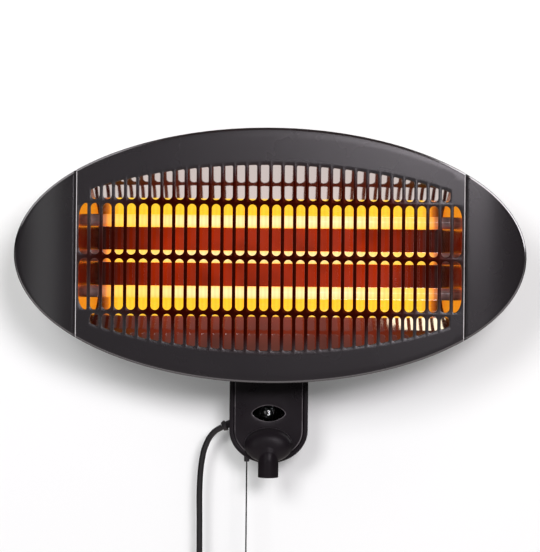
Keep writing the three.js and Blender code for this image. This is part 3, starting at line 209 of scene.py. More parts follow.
# ---------------------------------------------------------------- mains lead
# A round 6 mm rubber-jacketed lead. It leaves the gland on the box's left side, hangs beside the box,
# and the rest of it is put away as a two-layer coil. It is one unbroken cord, down to its plug.

LEAD_DIAMETER = 6 * MM
LEAD_Y = -26 * MM
GLAND_FOOT = np.array([-39.5, -26, -60.7]) * MM
GLAND_TILT = math.radians(25)
GLAND_WAY = np.array([-math.cos(GLAND_TILT), 0, -math.sin(GLAND_TILT)])
LEAD_START = GLAND_FOOT + GLAND_WAY * 8.6 * MM
ROUTE = np.array([
    (-54, -68.3), (-58.1, -72.5), (-61.1, -77), (-63.4, -82.1), (-65.5, -88),
    (-67.6, -98.6), (-69, -110.8), (-69.8, -130), (-69.5, -160), (-69.3, -190),
]) * MM
HANG_X = -69.3 * MM
HANG_END_Z = -198 * MM
BEND_RADIUS = 27 * MM
BEND_ANGLE = math.radians(68.7)
COIL_RADIUS = 45.5 * MM
COIL_PITCH = 6.8 * MM
COIL_TURNS = 6.19
LEAD_TAIL = 48 * MM


def rounded_route(points, steps):
    """Centripetal Catmull-Rom curve: each stretch is a cubic whose tangents follow its neighbours."""
    ends = [2 * points[0] - points[1], *points, 2 * points[-1] - points[-2]]
    curve = []
    for a, b, c, d in zip(ends, ends[1:], ends[2:], ends[3:]):
        ab, bc, cd = (math.sqrt(np.linalg.norm(q - p)) for p, q in ((a, b), (b, c), (c, d)))
        start = (b - a) / ab - (c - a) / (ab + bc) + (c - b) / bc
        finish = (c - b) / bc - (d - b) / (bc + cd) + (d - c) / cd
        s = np.linspace(0, 1, steps, endpoint=False)[:, None]
        curve.append(
            (2 * s**3 - 3 * s**2 + 1) * b + (s**3 - 2 * s**2 + s) * start * bc
            + (3 * s**2 - 2 * s**3) * c + (s**3 - s**2) * finish * bc)
    return np.vstack([*curve, points[-1:]])


def lead_route():
    """Gland, hanging stretch and bend, then a spiral r = R - pitch * min(t, T - t) in two layers, then
    a straight tail."""
    hang = [LEAD_START] + [np.array([x, LEAD_Y, z]) for x, z in ROUTE]
    for angle in np.linspace(0, BEND_ANGLE, 6):
        x = HANG_X + BEND_RADIUS * (1 - math.cos(angle))
        hang.append(np.array([x, LEAD_Y, HANG_END_Z - BEND_RADIUS * math.sin(angle)]))
    free = rounded_route(np.array(hang), 8)
    way = np.array([math.sin(BEND_ANGLE), 0, -math.cos(BEND_ANGLE)])
    join = free[-1] + way * (LEAD_DIAMETER + 0.3 * MM)
    centre = join - COIL_RADIUS * np.array([math.cos(BEND_ANGLE), 0, math.sin(BEND_ANGLE)])
    t = np.linspace(0, COIL_TURNS, int(COIL_TURNS * 64))
    radius = COIL_RADIUS - COIL_PITCH * np.minimum(t, COIL_TURNS - t)
    climb = np.clip((t - COIL_TURNS / 2 + 0.25) / 0.5, 0, 1)
    climb = climb * climb * (3 - 2 * climb)
    angle = BEND_ANGLE - 2 * math.pi * t
    x, z = centre[0] + radius * np.cos(angle), centre[2] + radius * np.sin(angle)
    coil = np.stack([x, LEAD_Y + COIL_PITCH * climb, z], 1)
    tail = coil[-1] + np.outer(np.linspace(4 * MM, LEAD_DIAMETER + LEAD_TAIL + 0.3 * MM, 12), (0, 0, -1))
    return np.vstack([free, coil, tail]), centre


def tube_surface(route, radius, sides, across=(0, 1, 0)):
    """Rings round a route: point = route(i) + r(i) (cos a u + sin a v), u and v square to its tangent."""
    tangent = np.gradient(route, axis=0)
    tangent /= np.linalg.norm(tangent, axis=1, keepdims=True)
    u = np.array(across) - tangent * (tangent @ np.array(across))[:, None]
    u /= np.linalg.norm(u, axis=1, keepdims=True)
    v = np.cross(tangent, u)
    a = np.linspace(0, 2 * math.pi, sides + 1)[None, :, None]
    radius = np.broadcast_to(radius, len(route))[:, None, None]
    return route[:, None] + radius * (np.cos(a) * u[:, None] + np.sin(a) * v[:, None])


def capped(rings):
    """The same rings, closed at both ends by a point in the middle."""
    first = np.repeat(rings[:1].mean(1, keepdims=True), rings.shape[1], 1)
    last = np.repeat(rings[-1:].mean(1, keepdims=True), rings.shape[1], 1)
    return np.concatenate([first, rings, last])


def piece(name, grids, material, body, replaced=(), sharp=35, merge=2e-6):
    """One mesh from grids of points. Each grid's neighbours share faces, doubles are merged, and faces
    point outwards. A UV map holds each grid's two parameters."""
    points, faces, uvs, count = [], [], [], 0
    for grid in grids:
        rows, columns = grid.shape[:2]
        index = count + np.arange(rows * columns).reshape(rows, columns)
        quads = np.stack([index[:-1, :-1], index[1:, :-1], index[1:, 1:], index[:-1, 1:]], -1)
        along = np.linspace(0, 1, rows)[:, None] + np.zeros((1, columns))
        around = np.zeros((rows, 1)) + np.linspace(0, 1, columns)[None]
        points.append(grid.reshape(-1, 3))
        uvs.append(np.stack([around, along], -1).reshape(-1, 2))
        faces.append(quads.reshape(-1, 4))
        count += rows * columns
    points, faces, uvs = np.concatenate(points), np.concatenate(faces), np.concatenate(uvs)
    mesh = bpy.data.meshes.new(name)
    mesh.from_pydata(points, [], faces.tolist())
    layer = mesh.uv_layers.new(name="surface")
    layer.data.foreach_set("uv", uvs[faces.ravel()].ravel())
    shape = bmesh.new()
    shape.from_mesh(mesh)
    bmesh.ops.remove_doubles(shape, verts=shape.verts, dist=merge)
    bmesh.ops.dissolve_degenerate(shape, edges=shape.edges, dist=merge / 2)
    bmesh.ops.recalc_face_normals(shape, faces=shape.faces)
    shape.to_mesh(mesh)
    shape.free()
    mesh.shade_smooth()
    mesh.set_sharp_from_angle(angle=math.radians(sharp))
    mesh.materials.append(material)
    thing = bpy.data.objects.new(name, mesh)
    bpy.context.collection.objects.link(thing)
    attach(thing, body)
    if replaced:
        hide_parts(*replaced)
    return thing


def grain_group():
    """Values that change over a surface: broad clouds, fine grain, and dust that lies on upward faces."""
    group = bpy.data.node_groups.new("surface_grain", "ShaderNodeTree")
    for name, start in (("Cloud Scale", 20.0), ("Grain Scale", 900.0)):
        group.interface.new_socket(name, in_out="INPUT", socket_type="NodeSocketFloat").default_value = start
    for name in ("Cloud", "Grain", "Dust"):
        group.interface.new_socket(name, in_out="OUTPUT", socket_type="NodeSocketFloat")
    scale = node_in(group, "NodeGroupInput").outputs
    place = node_in(group, "ShaderNodeTexCoord").outputs["Object"]
    cloud, grain = (
        node_in(group, "ShaderNodeTexNoise", Vector=place, Scale=scale[name], Detail=detail, Roughness=rough)
        for name, detail, rough in (("Cloud Scale", 4.0, 0.55), ("Grain Scale", 2.0, 0.6)))
    normal = node_in(group, "ShaderNodeNewGeometry").outputs["Normal"]
    up = ranged(group, node_in(group, "ShaderNodeSeparateXYZ", normal).outputs["Z"], 0.3)
    dust = calc(group, "MULTIPLY", up, cloud.outputs["Fac"])
    node_in(group, "NodeGroupOutput", cloud.outputs["Fac"], grain.outputs["Fac"], dust)
    return group


SURFACE_GRAIN = grain_group()
DUST_TONE = (0.3, 0.29, 0.28)


def finish_of(name, dark, light, rough, metal=0.0, grain=900.0, clouds=20.0, bump=0.02, dust=0.12, **sockets):
    """A surface whose colour drifts between two tones in clouds, with its own roughness range, a fine
    grain as bump, and a little dust on upward faces."""
    material = bpy.data.materials.new(name)
    material.use_nodes = True
    tree = material.node_tree
    values = node_in(tree, "ShaderNodeGroup", clouds, grain, node_tree=SURFACE_GRAIN).outputs
    tone = mixed(tree, values["Cloud"], dark, light)
    dusty = mixed(tree, calc(tree, "MULTIPLY", values["Dust"], dust), tone, DUST_TONE)
    gloss = ranged(tree, values["Cloud"], 0.3, 0.7, *rough)
    relief = node_in(tree, "ShaderNodeBump", Height=values["Grain"], Strength=1.0, Distance=bump * MM)
    feed(tree.nodes["Principled BSDF"], Base_Color=dusty, Metallic=metal, Roughness=gloss,
         Normal=relief.outputs[0], **sockets)
    return material


lead_rubber = finish_of("lead_rubber", (0.010, 0.009, 0.010), (0.017, 0.016, 0.017), (0.38, 0.5),
                        grain=1600.0, bump=0.03)
route, coil_centre = lead_route()
lead = piece("mains_lead", [capped(tube_surface(route, LEAD_DIAMETER / 2, 16))], lead_rubber, "base",
             ["power_cord", "power_cord_coil", "power_cord_tail"])

# ---------------------------------------------------------------- gland, tie and plug
# The gland is a moulded clamp with a flange, pressed into the box's side. A ribbed strap holds the coil.
# The plug is moulded onto the lead, with two slanted flat pins and an upright earth pin.

moulded_black = finish_of("moulded_black", (0.011, 0.010, 0.011), (0.018, 0.016, 0.018), (0.34, 0.5),
                          grain=1100.0, bump=0.02)


def turned(profile, centre, way=(0, 0, 1), sides=48, squash=1.0):
    """A profile of (radius, distance) points in mm, turned about an axis through centre along way."""
    profile = np.array(profile, float) * MM
    way = np.array(way, float) / np.linalg.norm(way)
    u = np.cross(way, (0, 1, 0) if abs(way[1]) < 0.9 else (1, 0, 0))
    u /= np.linalg.norm(u)
    v = np.cross(way, u)
    a = np.linspace(0, 2 * math.pi, sides + 1)[None, :, None]
    ring = np.cos(a) * u + squash * np.sin(a) * v
    return np.array(centre) + profile[:, :1, None] * ring + profile[:, 1:, None] * way


def eased(profile, radius=0.35, steps=3):
    """The same profile with each of its corners rounded by a short arc, as a moulding or casting has."""
    profile = np.array(profile, float)
    out = [profile[0]]
    for before, corner, after in zip(profile, profile[1:], profile[2:]):
        first, second = before - corner, after - corner
        reach = min(radius, np.linalg.norm(first) * 0.45, np.linalg.norm(second) * 0.45)
        start = corner + first / np.linalg.norm(first) * reach
        finish = corner + second / np.linalg.norm(second) * reach
        for s in np.linspace(0, 1, steps + 1):
            out.append((1 - s) ** 2 * start + 2 * s * (1 - s) * corner + s**2 * finish)
    return np.array([*out, profile[-1]])


GLAND_PROFILE = [(0, -5), (3.7, -5), (3.7, 3.6), (5.3, 3.8), (5.3, 5.5), (4.4, 8.3), (0, 8.3)]
gland = piece("cord_gland", [turned(eased(GLAND_PROFILE), GLAND_FOOT, GLAND_WAY)], moulded_black, "base",
              ["cable_gland"])

TIE_ANGLE = math.radians(125)
TIE_WIDTH = 9 * MM
TIE_THICK = 1.05 * MM
TIE_RIB = 0.12 * MM
TIE_CORNER = 0.35                # the power that squares the circle


def strap_band():
    """Four rings of one rounded rectangle round the bundle, x = cos(a)^p and y = sin(a)^p with their signs
    kept. The outer two stand off by the strap's thickness, ribbed by a sine along it."""
    inner = COIL_RADIUS - COIL_PITCH * COIL_TURNS / 2 - LEAD_DIAMETER / 2 + 0.4 * MM
    outer = COIL_RADIUS - 2 * MM + LEAD_DIAMETER / 2 + 0.8 * MM
    front = LEAD_Y - LEAD_DIAMETER / 2 - 0.3 * MM
    back = LEAD_Y + COIL_PITCH + LEAD_DIAMETER / 2 + 0.3 * MM
    a = np.linspace(0, 2 * math.pi, 121)
    along, deep = (np.sign(wave) * np.abs(wave) ** TIE_CORNER for wave in (np.cos(a), np.sin(a)))
    rows = []
    ribs = TIE_RIB * np.sin(60 * a)
    for side, thick in ((-1, 0), (-1, 1), (1, 1), (1, 0), (-1, 0)):
        grow = thick * (TIE_THICK + ribs)
        r = (inner + outer) / 2 + ((outer - inner) / 2 + grow) * along
        y = (front + back) / 2 + ((back - front) / 2 + grow) * deep
        s = side * TIE_WIDTH / 2
        rows.append(np.stack([
            coil_centre[0] + r * math.cos(TIE_ANGLE) - s * math.sin(TIE_ANGLE), y,
            coil_centre[2] + r * math.sin(TIE_ANGLE) + s * math.cos(TIE_ANGLE)], 1))
    return np.array(rows)


strap_black = finish_of("strap_black", (0.008, 0.008, 0.008), (0.02, 0.02, 0.02), (0.6, 0.8),
                        grain=2500.0, bump=0.06)
tie = piece("coil_strap", [strap_band()], strap_black, "base", ["cord_tie"])

# From its face with the pins up to its ribbed neck. It is 34 wide and 26 deep.
PLUG_PROFILE = [
    (0, 0), (16.9, 0), (16.95, 1.5), (16.9, 10), (13.4, 20), (9, 30), (6.2, 33.6), (5.4, 36), (5.4, 37.4),
    (4.9, 37.8), (5.2, 39.4), (4.7, 39.8), (5.0, 41.4), (4.5, 41.8), (4.7, 43.4), (4.2, 43.8), (4.2, 48),
    (0, 48),
]
PLUG_SQUASH = 26 / 34

low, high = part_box("plug_body")
plug_centre = [(low[0] + high[0]) / 2, (low[1] + high[1]) / 2, low[2]]
plug = piece("lead_plug", [turned(eased(PLUG_PROFILE, 0.8), plug_centre, (0, 0, 1), 64, PLUG_SQUASH)],
             moulded_black, "base", ["plug_body"])
pin_brass = finish_of("pin_brass", (0.62, 0.46, 0.2), (0.72, 0.56, 0.28), (0.16, 0.3), 1.0, grain=2500.0,
                      bump=0.01, dust=0.0)


def dress(name, material, width=0.0):
    """Gives a CAD node its finish and, where it has a width, a small bevel on its edges."""
    thing = nodes[name]
    thing.data.materials.clear()
    thing.data.materials.append(material)
    if width:
        weld = thing.modifiers.new("weld", "WELD")
        weld.merge_threshold = 1e-6
        bevel = thing.modifiers.new("bevel", "BEVEL")
        bevel.width = width * MM
        bevel.segments = 2
        bevel.limit_method = "ANGLE"
        bevel.angle_limit = math.radians(32)


PLUG_PINS = ["plug_pin_left", "plug_pin_right", "plug_pin_earth"]
for pin in PLUG_PINS:
    dress(pin, pin_brass, 0.3)

# ---------------------------------------------------------------- pull cord and knob
# A braided nylon cord comes out of an eyelet in the box's bottom and carries a small bell-shaped pull.

PULL_X = -21.7 * MM
PULL_Y = -51 * MM
PULL_TOP_Z = -46 * MM
PULL_END_Z = -212 * MM
STRING_DIAMETER = 1.5 * MM
STRING_STEPS = 420
BRAID_LAY = 3.2 * MM


def braid_surface(route, radius, sides):
    """Rings round an upright route. The radius ripples as two crossed sets of four helices:
    r = R (0.965 + 0.035 sin(4 a + t) sin(4 a - t)), and t grows by a turn with each lay of the braid."""
    along = np.concatenate([[0], np.cumsum(np.linalg.norm(np.diff(route, axis=0), axis=1))])[:, None]
    a = np.linspace(0, 2 * math.pi, sides + 1)[None]
    turn = 2 * math.pi * along / BRAID_LAY
    r = radius * (0.965 + 0.035 * np.sin(4 * a + turn) * np.sin(4 * a - turn))
    flat = np.stack([r * np.cos(a), r * np.sin(a), np.zeros_like(r)], -1)
    return route[:, None] + flat


string_nylon = finish_of("string_nylon", (0.004, 0.004, 0.004), (0.012, 0.011, 0.012), (0.55, 0.7),
                         grain=4000.0, bump=0.05)
string_route = np.full((STRING_STEPS, 3), (PULL_X, PULL_Y, 0))
string_route[:, 2] = np.linspace(PULL_TOP_Z, PULL_END_Z, STRING_STEPS)
string = piece("pull_string", [capped(braid_surface(string_route, STRING_DIAMETER / 2, 16))], string_nylon,
               "pull", ["pull_cord"])
BELL_PROFILE = [
    (0, -229), (7.4, -229), (8.5, -227.4), (8.45, -225), (7.9, -221), (6.6, -215.5), (5.1, -211), (4.0, -207),
    (3.5, -204), (2.6, -202), (1.05, -202), (1.05, -212.3), (0, -212.3),
]
EYELET_PROFILE = [(1.05, -97), (2.3, -97), (2.7, -96.4), (2.7, -89), (1.05, -89), (1.05, -97)]
bell = piece("pull_bell", [turned(eased(BELL_PROFILE, 0.9, 4), (PULL_X, PULL_Y, 0))], moulded_black, "pull",
             ["pull_knob"])
piece("string_eyelet", [turned(eased(EYELET_PROFILE, 0.3), (PULL_X, PULL_Y, 0))], moulded_black, "base",
      ["cord_eyelet"])

# ---------------------------------------------------------------- pierced face
# One pressed sheet of satin charcoal enamel with 124 punched slots in an oval field. Its top and bottom
# edges turn back into a rim, and its two upright edges stop at the seams beside the end caps.

HEAD_A, HEAD_B, HEAD_Z = 250.0, 124.0, 110.0
FACE, FACE_SHEET, RIM_BACK = -130.0, 1.2, -118.0
SEAM, SEAM_ROUND = 188.7, 0.7
PITCH, SLOT, ROW, BAR = 11.73, 8.3, 53.5, 3.8
FIELD_A, FIELD_B, FIELD_Z = 252.0, 90.0, -2.4
FIELD_MARGIN = 4.0
SLOT_END = ROW / 2 - BAR / 2 - SLOT / 2      # from a middle slot's centre to the centres of its rounds
SLOT_EDGE = 0.35
BEVEL = [(2.6, 0), (2.3, 0.05), (2.0, 0.3), (0.75, 1.75), (0.3, 2.2), (0, 2.8)]  # the rim's inset and depth


def arc(x, z, rx, rz, start, stop, steps):
    """Points (x + rx cos a, z + rz sin a) from one angle to another, in degrees."""
    a = np.radians(np.linspace(start, stop, steps + 1))
    return np.stack([x + rx * np.cos(a), z + rz * np.sin(a)], 1)


def between(p, q, count):
    """Points on the straight line from p to q, without its ends."""
    s = np.linspace(0, 1, count + 2)[1:-1, None]
    return np.array(p) + s * (np.array(q) - np.array(p))


def field_height(x):
    """How high the slots' oval field reaches at x: b sqrt(1 - (x / a)^2)."""
    return FIELD_B * np.sqrt(1 - (x / FIELD_A) ** 2)


def cell_end(x0, x1, z, up):
    """Thirteen points round one end of a cell: up its right side, along its end and down its left side."""
    step = ROW / 2 - SLOT_END
    right = np.stack([np.full(4, x1), z - up * step * np.array([1, 2 / 3, 1 / 3, 0])], 1)
    left = np.stack([np.full(4, x0), z - up * step * np.array([0, 1 / 3, 2 / 3, 1])], 1)
    return np.vstack([right, between((x1, z), (x0, z), 5), left])


def middle_slot(x):
    """A stadium, sampled in step with the points round its cell."""
    low, high = ROW / 2 - SLOT_END, ROW / 2 + SLOT_END
    r = SLOT / 2
    return np.vstack([
        arc(x, high, r, r, 0, 180, 12), between((x - r, high), (x - r, low), 3),
        arc(x, low, r, r, 180, 360, 12), between((x + r, low), (x + r, high), 3)])


def end_slot(x):
    """The outermost column's slot: its outer side runs in elliptic arcs that follow the oval."""
    low, high = BAR / 2, ROW - BAR / 2
    inner, outer = x - SLOT / 2, x + SLOT / 2
    return np.vstack([
        arc(outer - 7.1, high - 16, 7.1, 16, 0, 90, 8), arc(inner + 1.2, high - 1.2, 1.2, 1.2, 90, 180, 3),
        between((inner, high - 1.2), (inner, low + 1.2), 3),
        arc(inner + 1.2, low + 1.2, 1.2, 1.2, 180, 270, 3), arc(outer - 6, low + 9, 6, 9, 270, 360, 8),
        between((outer, low + 9), (outer, high - 16), 3)])


def cell_round(x0, x1):
    """The edge of a cell of the middle rows, in step with its slot's points."""
    step = ROW / 2 - SLOT_END
    return np.vstack([
        cell_end(x0, x1, ROW, 1), between((x0, ROW - step), (x0, step), 3),
        cell_end(x0, x1, 0, -1)[::-1], between((x1, step), (x1, ROW - step), 3)])


def side_points(x):
    """The upright between two cells of the outer row, from the bar's middle to the field's edge."""
    top = field_height(x) + FIELD_MARGIN
    step = ROW / 2 - SLOT_END
    low = ROW + step * np.array([0, 1 / 3, 2 / 3, 1])
    return np.stack([np.full(7, x), [*low, (low[-1] + top - 3) / 2, top - 3, top]], 1)


def top_points(x0, x1):
    """The field's edge over one cell, from its right corner to its left one."""
    right, left = side_points(x1)[-1], side_points(x0)[-1]
    inset = 2 * (left - right) / (x1 - x0)
    return np.vstack([right, right + inset, between(right + inset, left - inset, 3), left - inset, left])


def outer_slot(x):
    """A slot of the outer rows: a round at the bar, and an inclined end with small corners."""
    r, corner = SLOT / 2, 1.2
    start = ROW + BAR / 2 + r
    left, right = field_height(x - r), field_height(x + r)
    ease = corner * 0.29
    return np.vstack([
        arc(x, start, r, r, 180, 360, 12), between((x + r, start), (x + r, right - corner), 1),
        [(x + r, right - corner), (x + r - ease, right - ease), (x + r - corner, right)],
        between((x + r - corner, right), (x - r + corner, left), 3),
        [(x - r + corner, left), (x - r + ease, left - ease), (x - r, left - corner)],
        between((x - r, left - corner), (x - r, start), 1)])


def outer_cell_round(x0, x1):
    """The edge of a cell of the outer rows, in step with its slot's points."""
    left, right, top = side_points(x0), side_points(x1), top_points(x0, x1)
    base = between((x0, ROW), (x1, ROW), 5)
    return np.vstack([left[3::-1], base, right[:6], top, left[5:3:-1]])


def widened(loop, distance):
    """A closed loop moved outwards by a distance along its own normals."""
    along = np.roll(loop, -1, 0) - np.roll(loop, 1, 0)
    normal = np.stack([along[:, 1], -along[:, 0]], 1)
    normal /= np.linalg.norm(normal, axis=1, keepdims=True)
    turn = np.sign(np.sum(loop[:, 0] * np.roll(loop[:, 1], -1) - loop[:, 1] * np.roll(loop[:, 0], -1)))
    return loop + distance * turn * normal


def cell_grid(cell, slot, mirror_x, mirror_z):
    """From the cell's edge over the face, a rounded edge and the slot's wall to the back of the sheet."""
    eased_in = SLOT_EDGE * 0.3
    rows = [(cell, FACE), (widened(slot, SLOT_EDGE), FACE), (widened(slot, eased_in), FACE + eased_in),
            (slot, FACE + SLOT_EDGE), (slot, FACE + FACE_SHEET), (cell, FACE + FACE_SHEET)]
    grid = np.array([np.column_stack([mirror_x * p[:, 0], np.full(len(p), y), FIELD_Z + mirror_z * p[:, 1]])
                     for p, y in rows])
    return np.concatenate([grid, grid[:, :1]], 1)


def oval_z(x, inset):
    """The height of the head's outline at x, drawn in by an inset: (b - i) sqrt(1 - (x / (a - i))^2)."""
    return (HEAD_B - inset) * np.sqrt(np.clip(1 - (x / (HEAD_A - inset)) ** 2, 0, 1))


def face_grids():
    """All the cells, then the margins between the field and the outline, then the rim's profile carried
    along the oval, and the sheet's own edge at each seam."""
    edges = (np.arange(33) - 16) * PITCH
    centres = (edges[1:] + edges[:-1]) / 2
    near, far = edges[31], edges[32]
    grids = []
    for mirror_z in (1, -1):
        for x0, x1, x in zip(edges[1:-2], edges[2:-1], centres[1:-1]):
            grids.append(cell_grid(cell_round(x0, x1), middle_slot(x), 1, mirror_z))
            grids.append(cell_grid(outer_cell_round(x0, x1), outer_slot(x), 1, mirror_z))
        for mirror_x in (1, -1):
            grids.append(cell_grid(cell_round(near, far), end_slot(centres[31]), mirror_x, mirror_z))
    lid = between((far, ROW), (near, ROW), 5)
    top = np.vstack(
        [(far, ROW), lid, side_points(near)[:-1]]
        + [top_points(x0, x1)[:-1] for x0, x1 in zip(edges[30:0:-1], edges[31:1:-1])]
        + [side_points(edges[1])[::-1], (lid * (-1, 1))[::-1], (-far, ROW)])
    step = np.linspace(1, 0.94, 13)[:-1]
    share = np.concatenate([step, 0.94 * top[12:-12, 0] / near, -step[::-1]])
    upright = between((0, ROW / 2 + SLOT_END), (0, ROW / 2 - SLOT_END), 3)
    side = np.vstack([cell_end(0, 0, ROW, 1)[9:], upright, cell_end(0, 0, 0, -1)[:4]])[:, 1]
    side = np.concatenate([side, -side[-2::-1]])
    rim = [(inset, FACE + depth, SEAM - SEAM_ROUND * (depth == 0)) for inset, depth in BEVEL]
    rim += [
        (0, RIM_BACK - 0.6, SEAM), (0.2, RIM_BACK, SEAM), (1, RIM_BACK, SEAM), (1.2, RIM_BACK - 0.6, SEAM),
        (1.2, FACE + FACE_SHEET + 1.4, SEAM), (2.4, FACE + FACE_SHEET, SEAM)]
    s = np.linspace(0, 1, 5)[:, None]
    for mirror in (1, -1):
        rings = np.array([
            np.column_stack([share * half, np.full(len(share), y), mirror * oval_z(share * half, inset)])
            for inset, y, half in rim])
        grids.append(rings)
        field = np.column_stack([top[:, 0], np.zeros(len(top)), FIELD_Z + mirror * top[:, 1]])
        for ring, y in ((rings[0], FACE), (rings[-1], FACE + FACE_SHEET)):
            flat = field * (1, 0, 1) + (0, y, 0)
            grids.append(flat + s[:, :, None] * (ring - flat))
        for end in (0, -1):
            outer, inner = rings[1:8, end], rings[[11, 10, 10, 10, 9, 9, 8], end]
            grids.append(np.array([outer, inner]))
    for mirror in (1, -1):
        field = np.column_stack([np.full(len(side), mirror * far), np.zeros(len(side)), FIELD_Z + side])
        rings = []
        for x, y in ((SEAM - SEAM_ROUND, FACE), (SEAM - 0.3 * SEAM_ROUND, FACE + 0.3 * SEAM_ROUND),
                     (SEAM, FACE + SEAM_ROUND), (SEAM, FACE + FACE_SHEET)):
            inset = BEVEL[0][0] if y < FACE + FACE_SHEET else 2.4
            rings.append(np.column_stack([np.full(len(side), mirror * x), np.full(len(side), y),
                                          side / ROW * oval_z(np.array(x), inset)]))
        front, back = field + (0, FACE, 0), field + (0, FACE + FACE_SHEET, 0)
        grids.append(np.array([front, *rings, back]))
    return [(g + (0, 0, HEAD_Z)) * MM for g in grids]


charcoal = finish_of("charcoal_enamel", (0.0135, 0.0114, 0.0132), (0.0162, 0.0139, 0.0158), (0.255, 0.285),
                     grain=1500.0, clouds=9.0, bump=0.005, dust=0.05)


BEVEL_HIGHLIGHT_TONE = (0.5, 0.48, 0.5, 1)


def paint_bevel_highlight(material, mask):
    """Turns a finish into bright metal where the mask is 1: a painted highlight on a bevel. Of that a quarter
    is left below z = 50 mm and all of it above z = 120 mm, so the highlight is painted brighter at the top."""
    tree = material.node_tree
    place = node_in(tree, "ShaderNodeTexCoord").outputs["Object"]
    height = node_in(tree, "ShaderNodeSeparateXYZ", place).outputs["Z"]
    share = calc(tree, "MULTIPLY", mask, ranged(tree, height, 50 * MM, 120 * MM, 0.25))
    shader = tree.nodes["Principled BSDF"]
    for name, painted_highlight in (("Base Color", BEVEL_HIGHLIGHT_TONE), ("Metallic", 1.0), ("Roughness", 0.2)):
        socket = shader.inputs[name]
        kind = "RGBA" if name == "Base Color" else "FLOAT"
        coated = socket.links[0].from_socket if socket.links else socket.default_value
        mix = node_in(tree, "ShaderNodeMix", data_type=kind, Factor=share, A=coated, B=painted_highlight)
        tree.links.new(mix.outputs["Result"], socket)


def band_of(tree, value, middle, half):
    """1 where a value lies within half of the middle, 0 elsewhere."""
    return calc(tree, "COMPARE", value, middle, half)


# The heat stain and the painted red light and glow over the tubes come in together between these shares.
STAIN_AND_GLOW_FADE = (1.06, 0.8)         # shares of the way to the oval between which the stain comes in
RIM_FROM = 1.12                  # such a share, between the oval and the rim's bevel
BEVEL_SLOPE = (-0.69, 0.04)      # how far the bevel faces forward, and the play in that


def heat_stain_and_painted_glow(material, centre_z, half_wide, half_high, edge):
    """Reddens and darkens the enamel in an oval over the tubes, partly where heat has browned it and partly
    as painted red light from the tubes, and gives it a dull red glow that is painted light too. It paints the
    sheet's edge beyond
    |x| = edge light grey as a painted highlight along the seams, and paints the highlight on the rim's bevel. The share
    of the way to the oval is sqrt((x / a)^2 + ((z - centre) / b)^2)."""
    tree = material.node_tree
    shader = tree.nodes["Principled BSDF"]
    paint = shader.inputs["Base Color"].links[0].from_socket
    place = node_in(tree, "ShaderNodeTexCoord").outputs
    moved = node_in(tree, "ShaderNodeMapping", Vector=place["Object"], Location=(0, 0, -centre_z / half_high),
                    Scale=(1 / (half_wide * MM), 0, 1 / (half_high * MM)))
    share = node_in(tree, "ShaderNodeVectorMath", moved.outputs[0], operation="LENGTH").outputs["Value"]
    inside = ranged(tree, share, *STAIN_AND_GLOW_FADE, kind="SMOOTHSTEP")
    away = calc(tree, "ABSOLUTE", node_in(tree, "ShaderNodeSeparateXYZ", place["Object"]).outputs["X"])
    # Painted highlight: the seam edge beyond |x| = edge is painted light grey so it shows as a bright line.
    painted_highlight = calc(tree, "GREATER_THAN", away, edge * MM)
    # The red-brown tint and the dull red emission are partly heat browning and partly painted red light from
    # the tubes.
    stained_and_lit = mixed(tree, inside, paint, (0.014, 0.0022, 0.001))
    feed(shader, Base_Color=mixed(tree, painted_highlight, stained_and_lit, (0.56, 0.53, 0.54)), Metallic=inside,
         Emission_Color=mixed(tree, inside, (0, 0, 0), (0.022, 0.0012, 0.0002)), Emission_Strength=1)
    slope = node_in(tree, "ShaderNodeSeparateXYZ", place["Normal"]).outputs["Y"]
    beyond = calc(tree, "GREATER_THAN", share, RIM_FROM)
    paint_bevel_highlight(material, calc(tree, "MULTIPLY", beyond, band_of(tree, slope, *BEVEL_SLOPE)))


# Over the tubes the enamel carries painted red light and a painted dull glow besides its heat stain. Its seam
# edges and rim bevel carry painted highlights.
heat_stain_and_painted_glow(charcoal, centre_z=HEAD_Z + FIELD_Z, half_wide=196, half_high=92, edge=187.85)
piece("pierced_face", face_grids(), charcoal, "head", ["face_panel"], sharp=40)

# ---------------------------------------------------------------- end caps
# Moulded wings outside the seams. They sweep back towards their tips and have a groove along the seam.

CAP_EDGE = 189.3
CAP_SWEEP, SWEEP_START = 10.0, 189.0
GROOVE_DEEP, GROOVE_WIDE = 1.5, 2.6


def cap_sweep(x):
    """How far the head's outline lies back at x: s ((|x| - x0) / (a - x0))^2 beyond x0."""
    return CAP_SWEEP * (np.clip(np.abs(x) - SWEEP_START, 0, None) / (HEAD_A - SWEEP_START)) ** 2


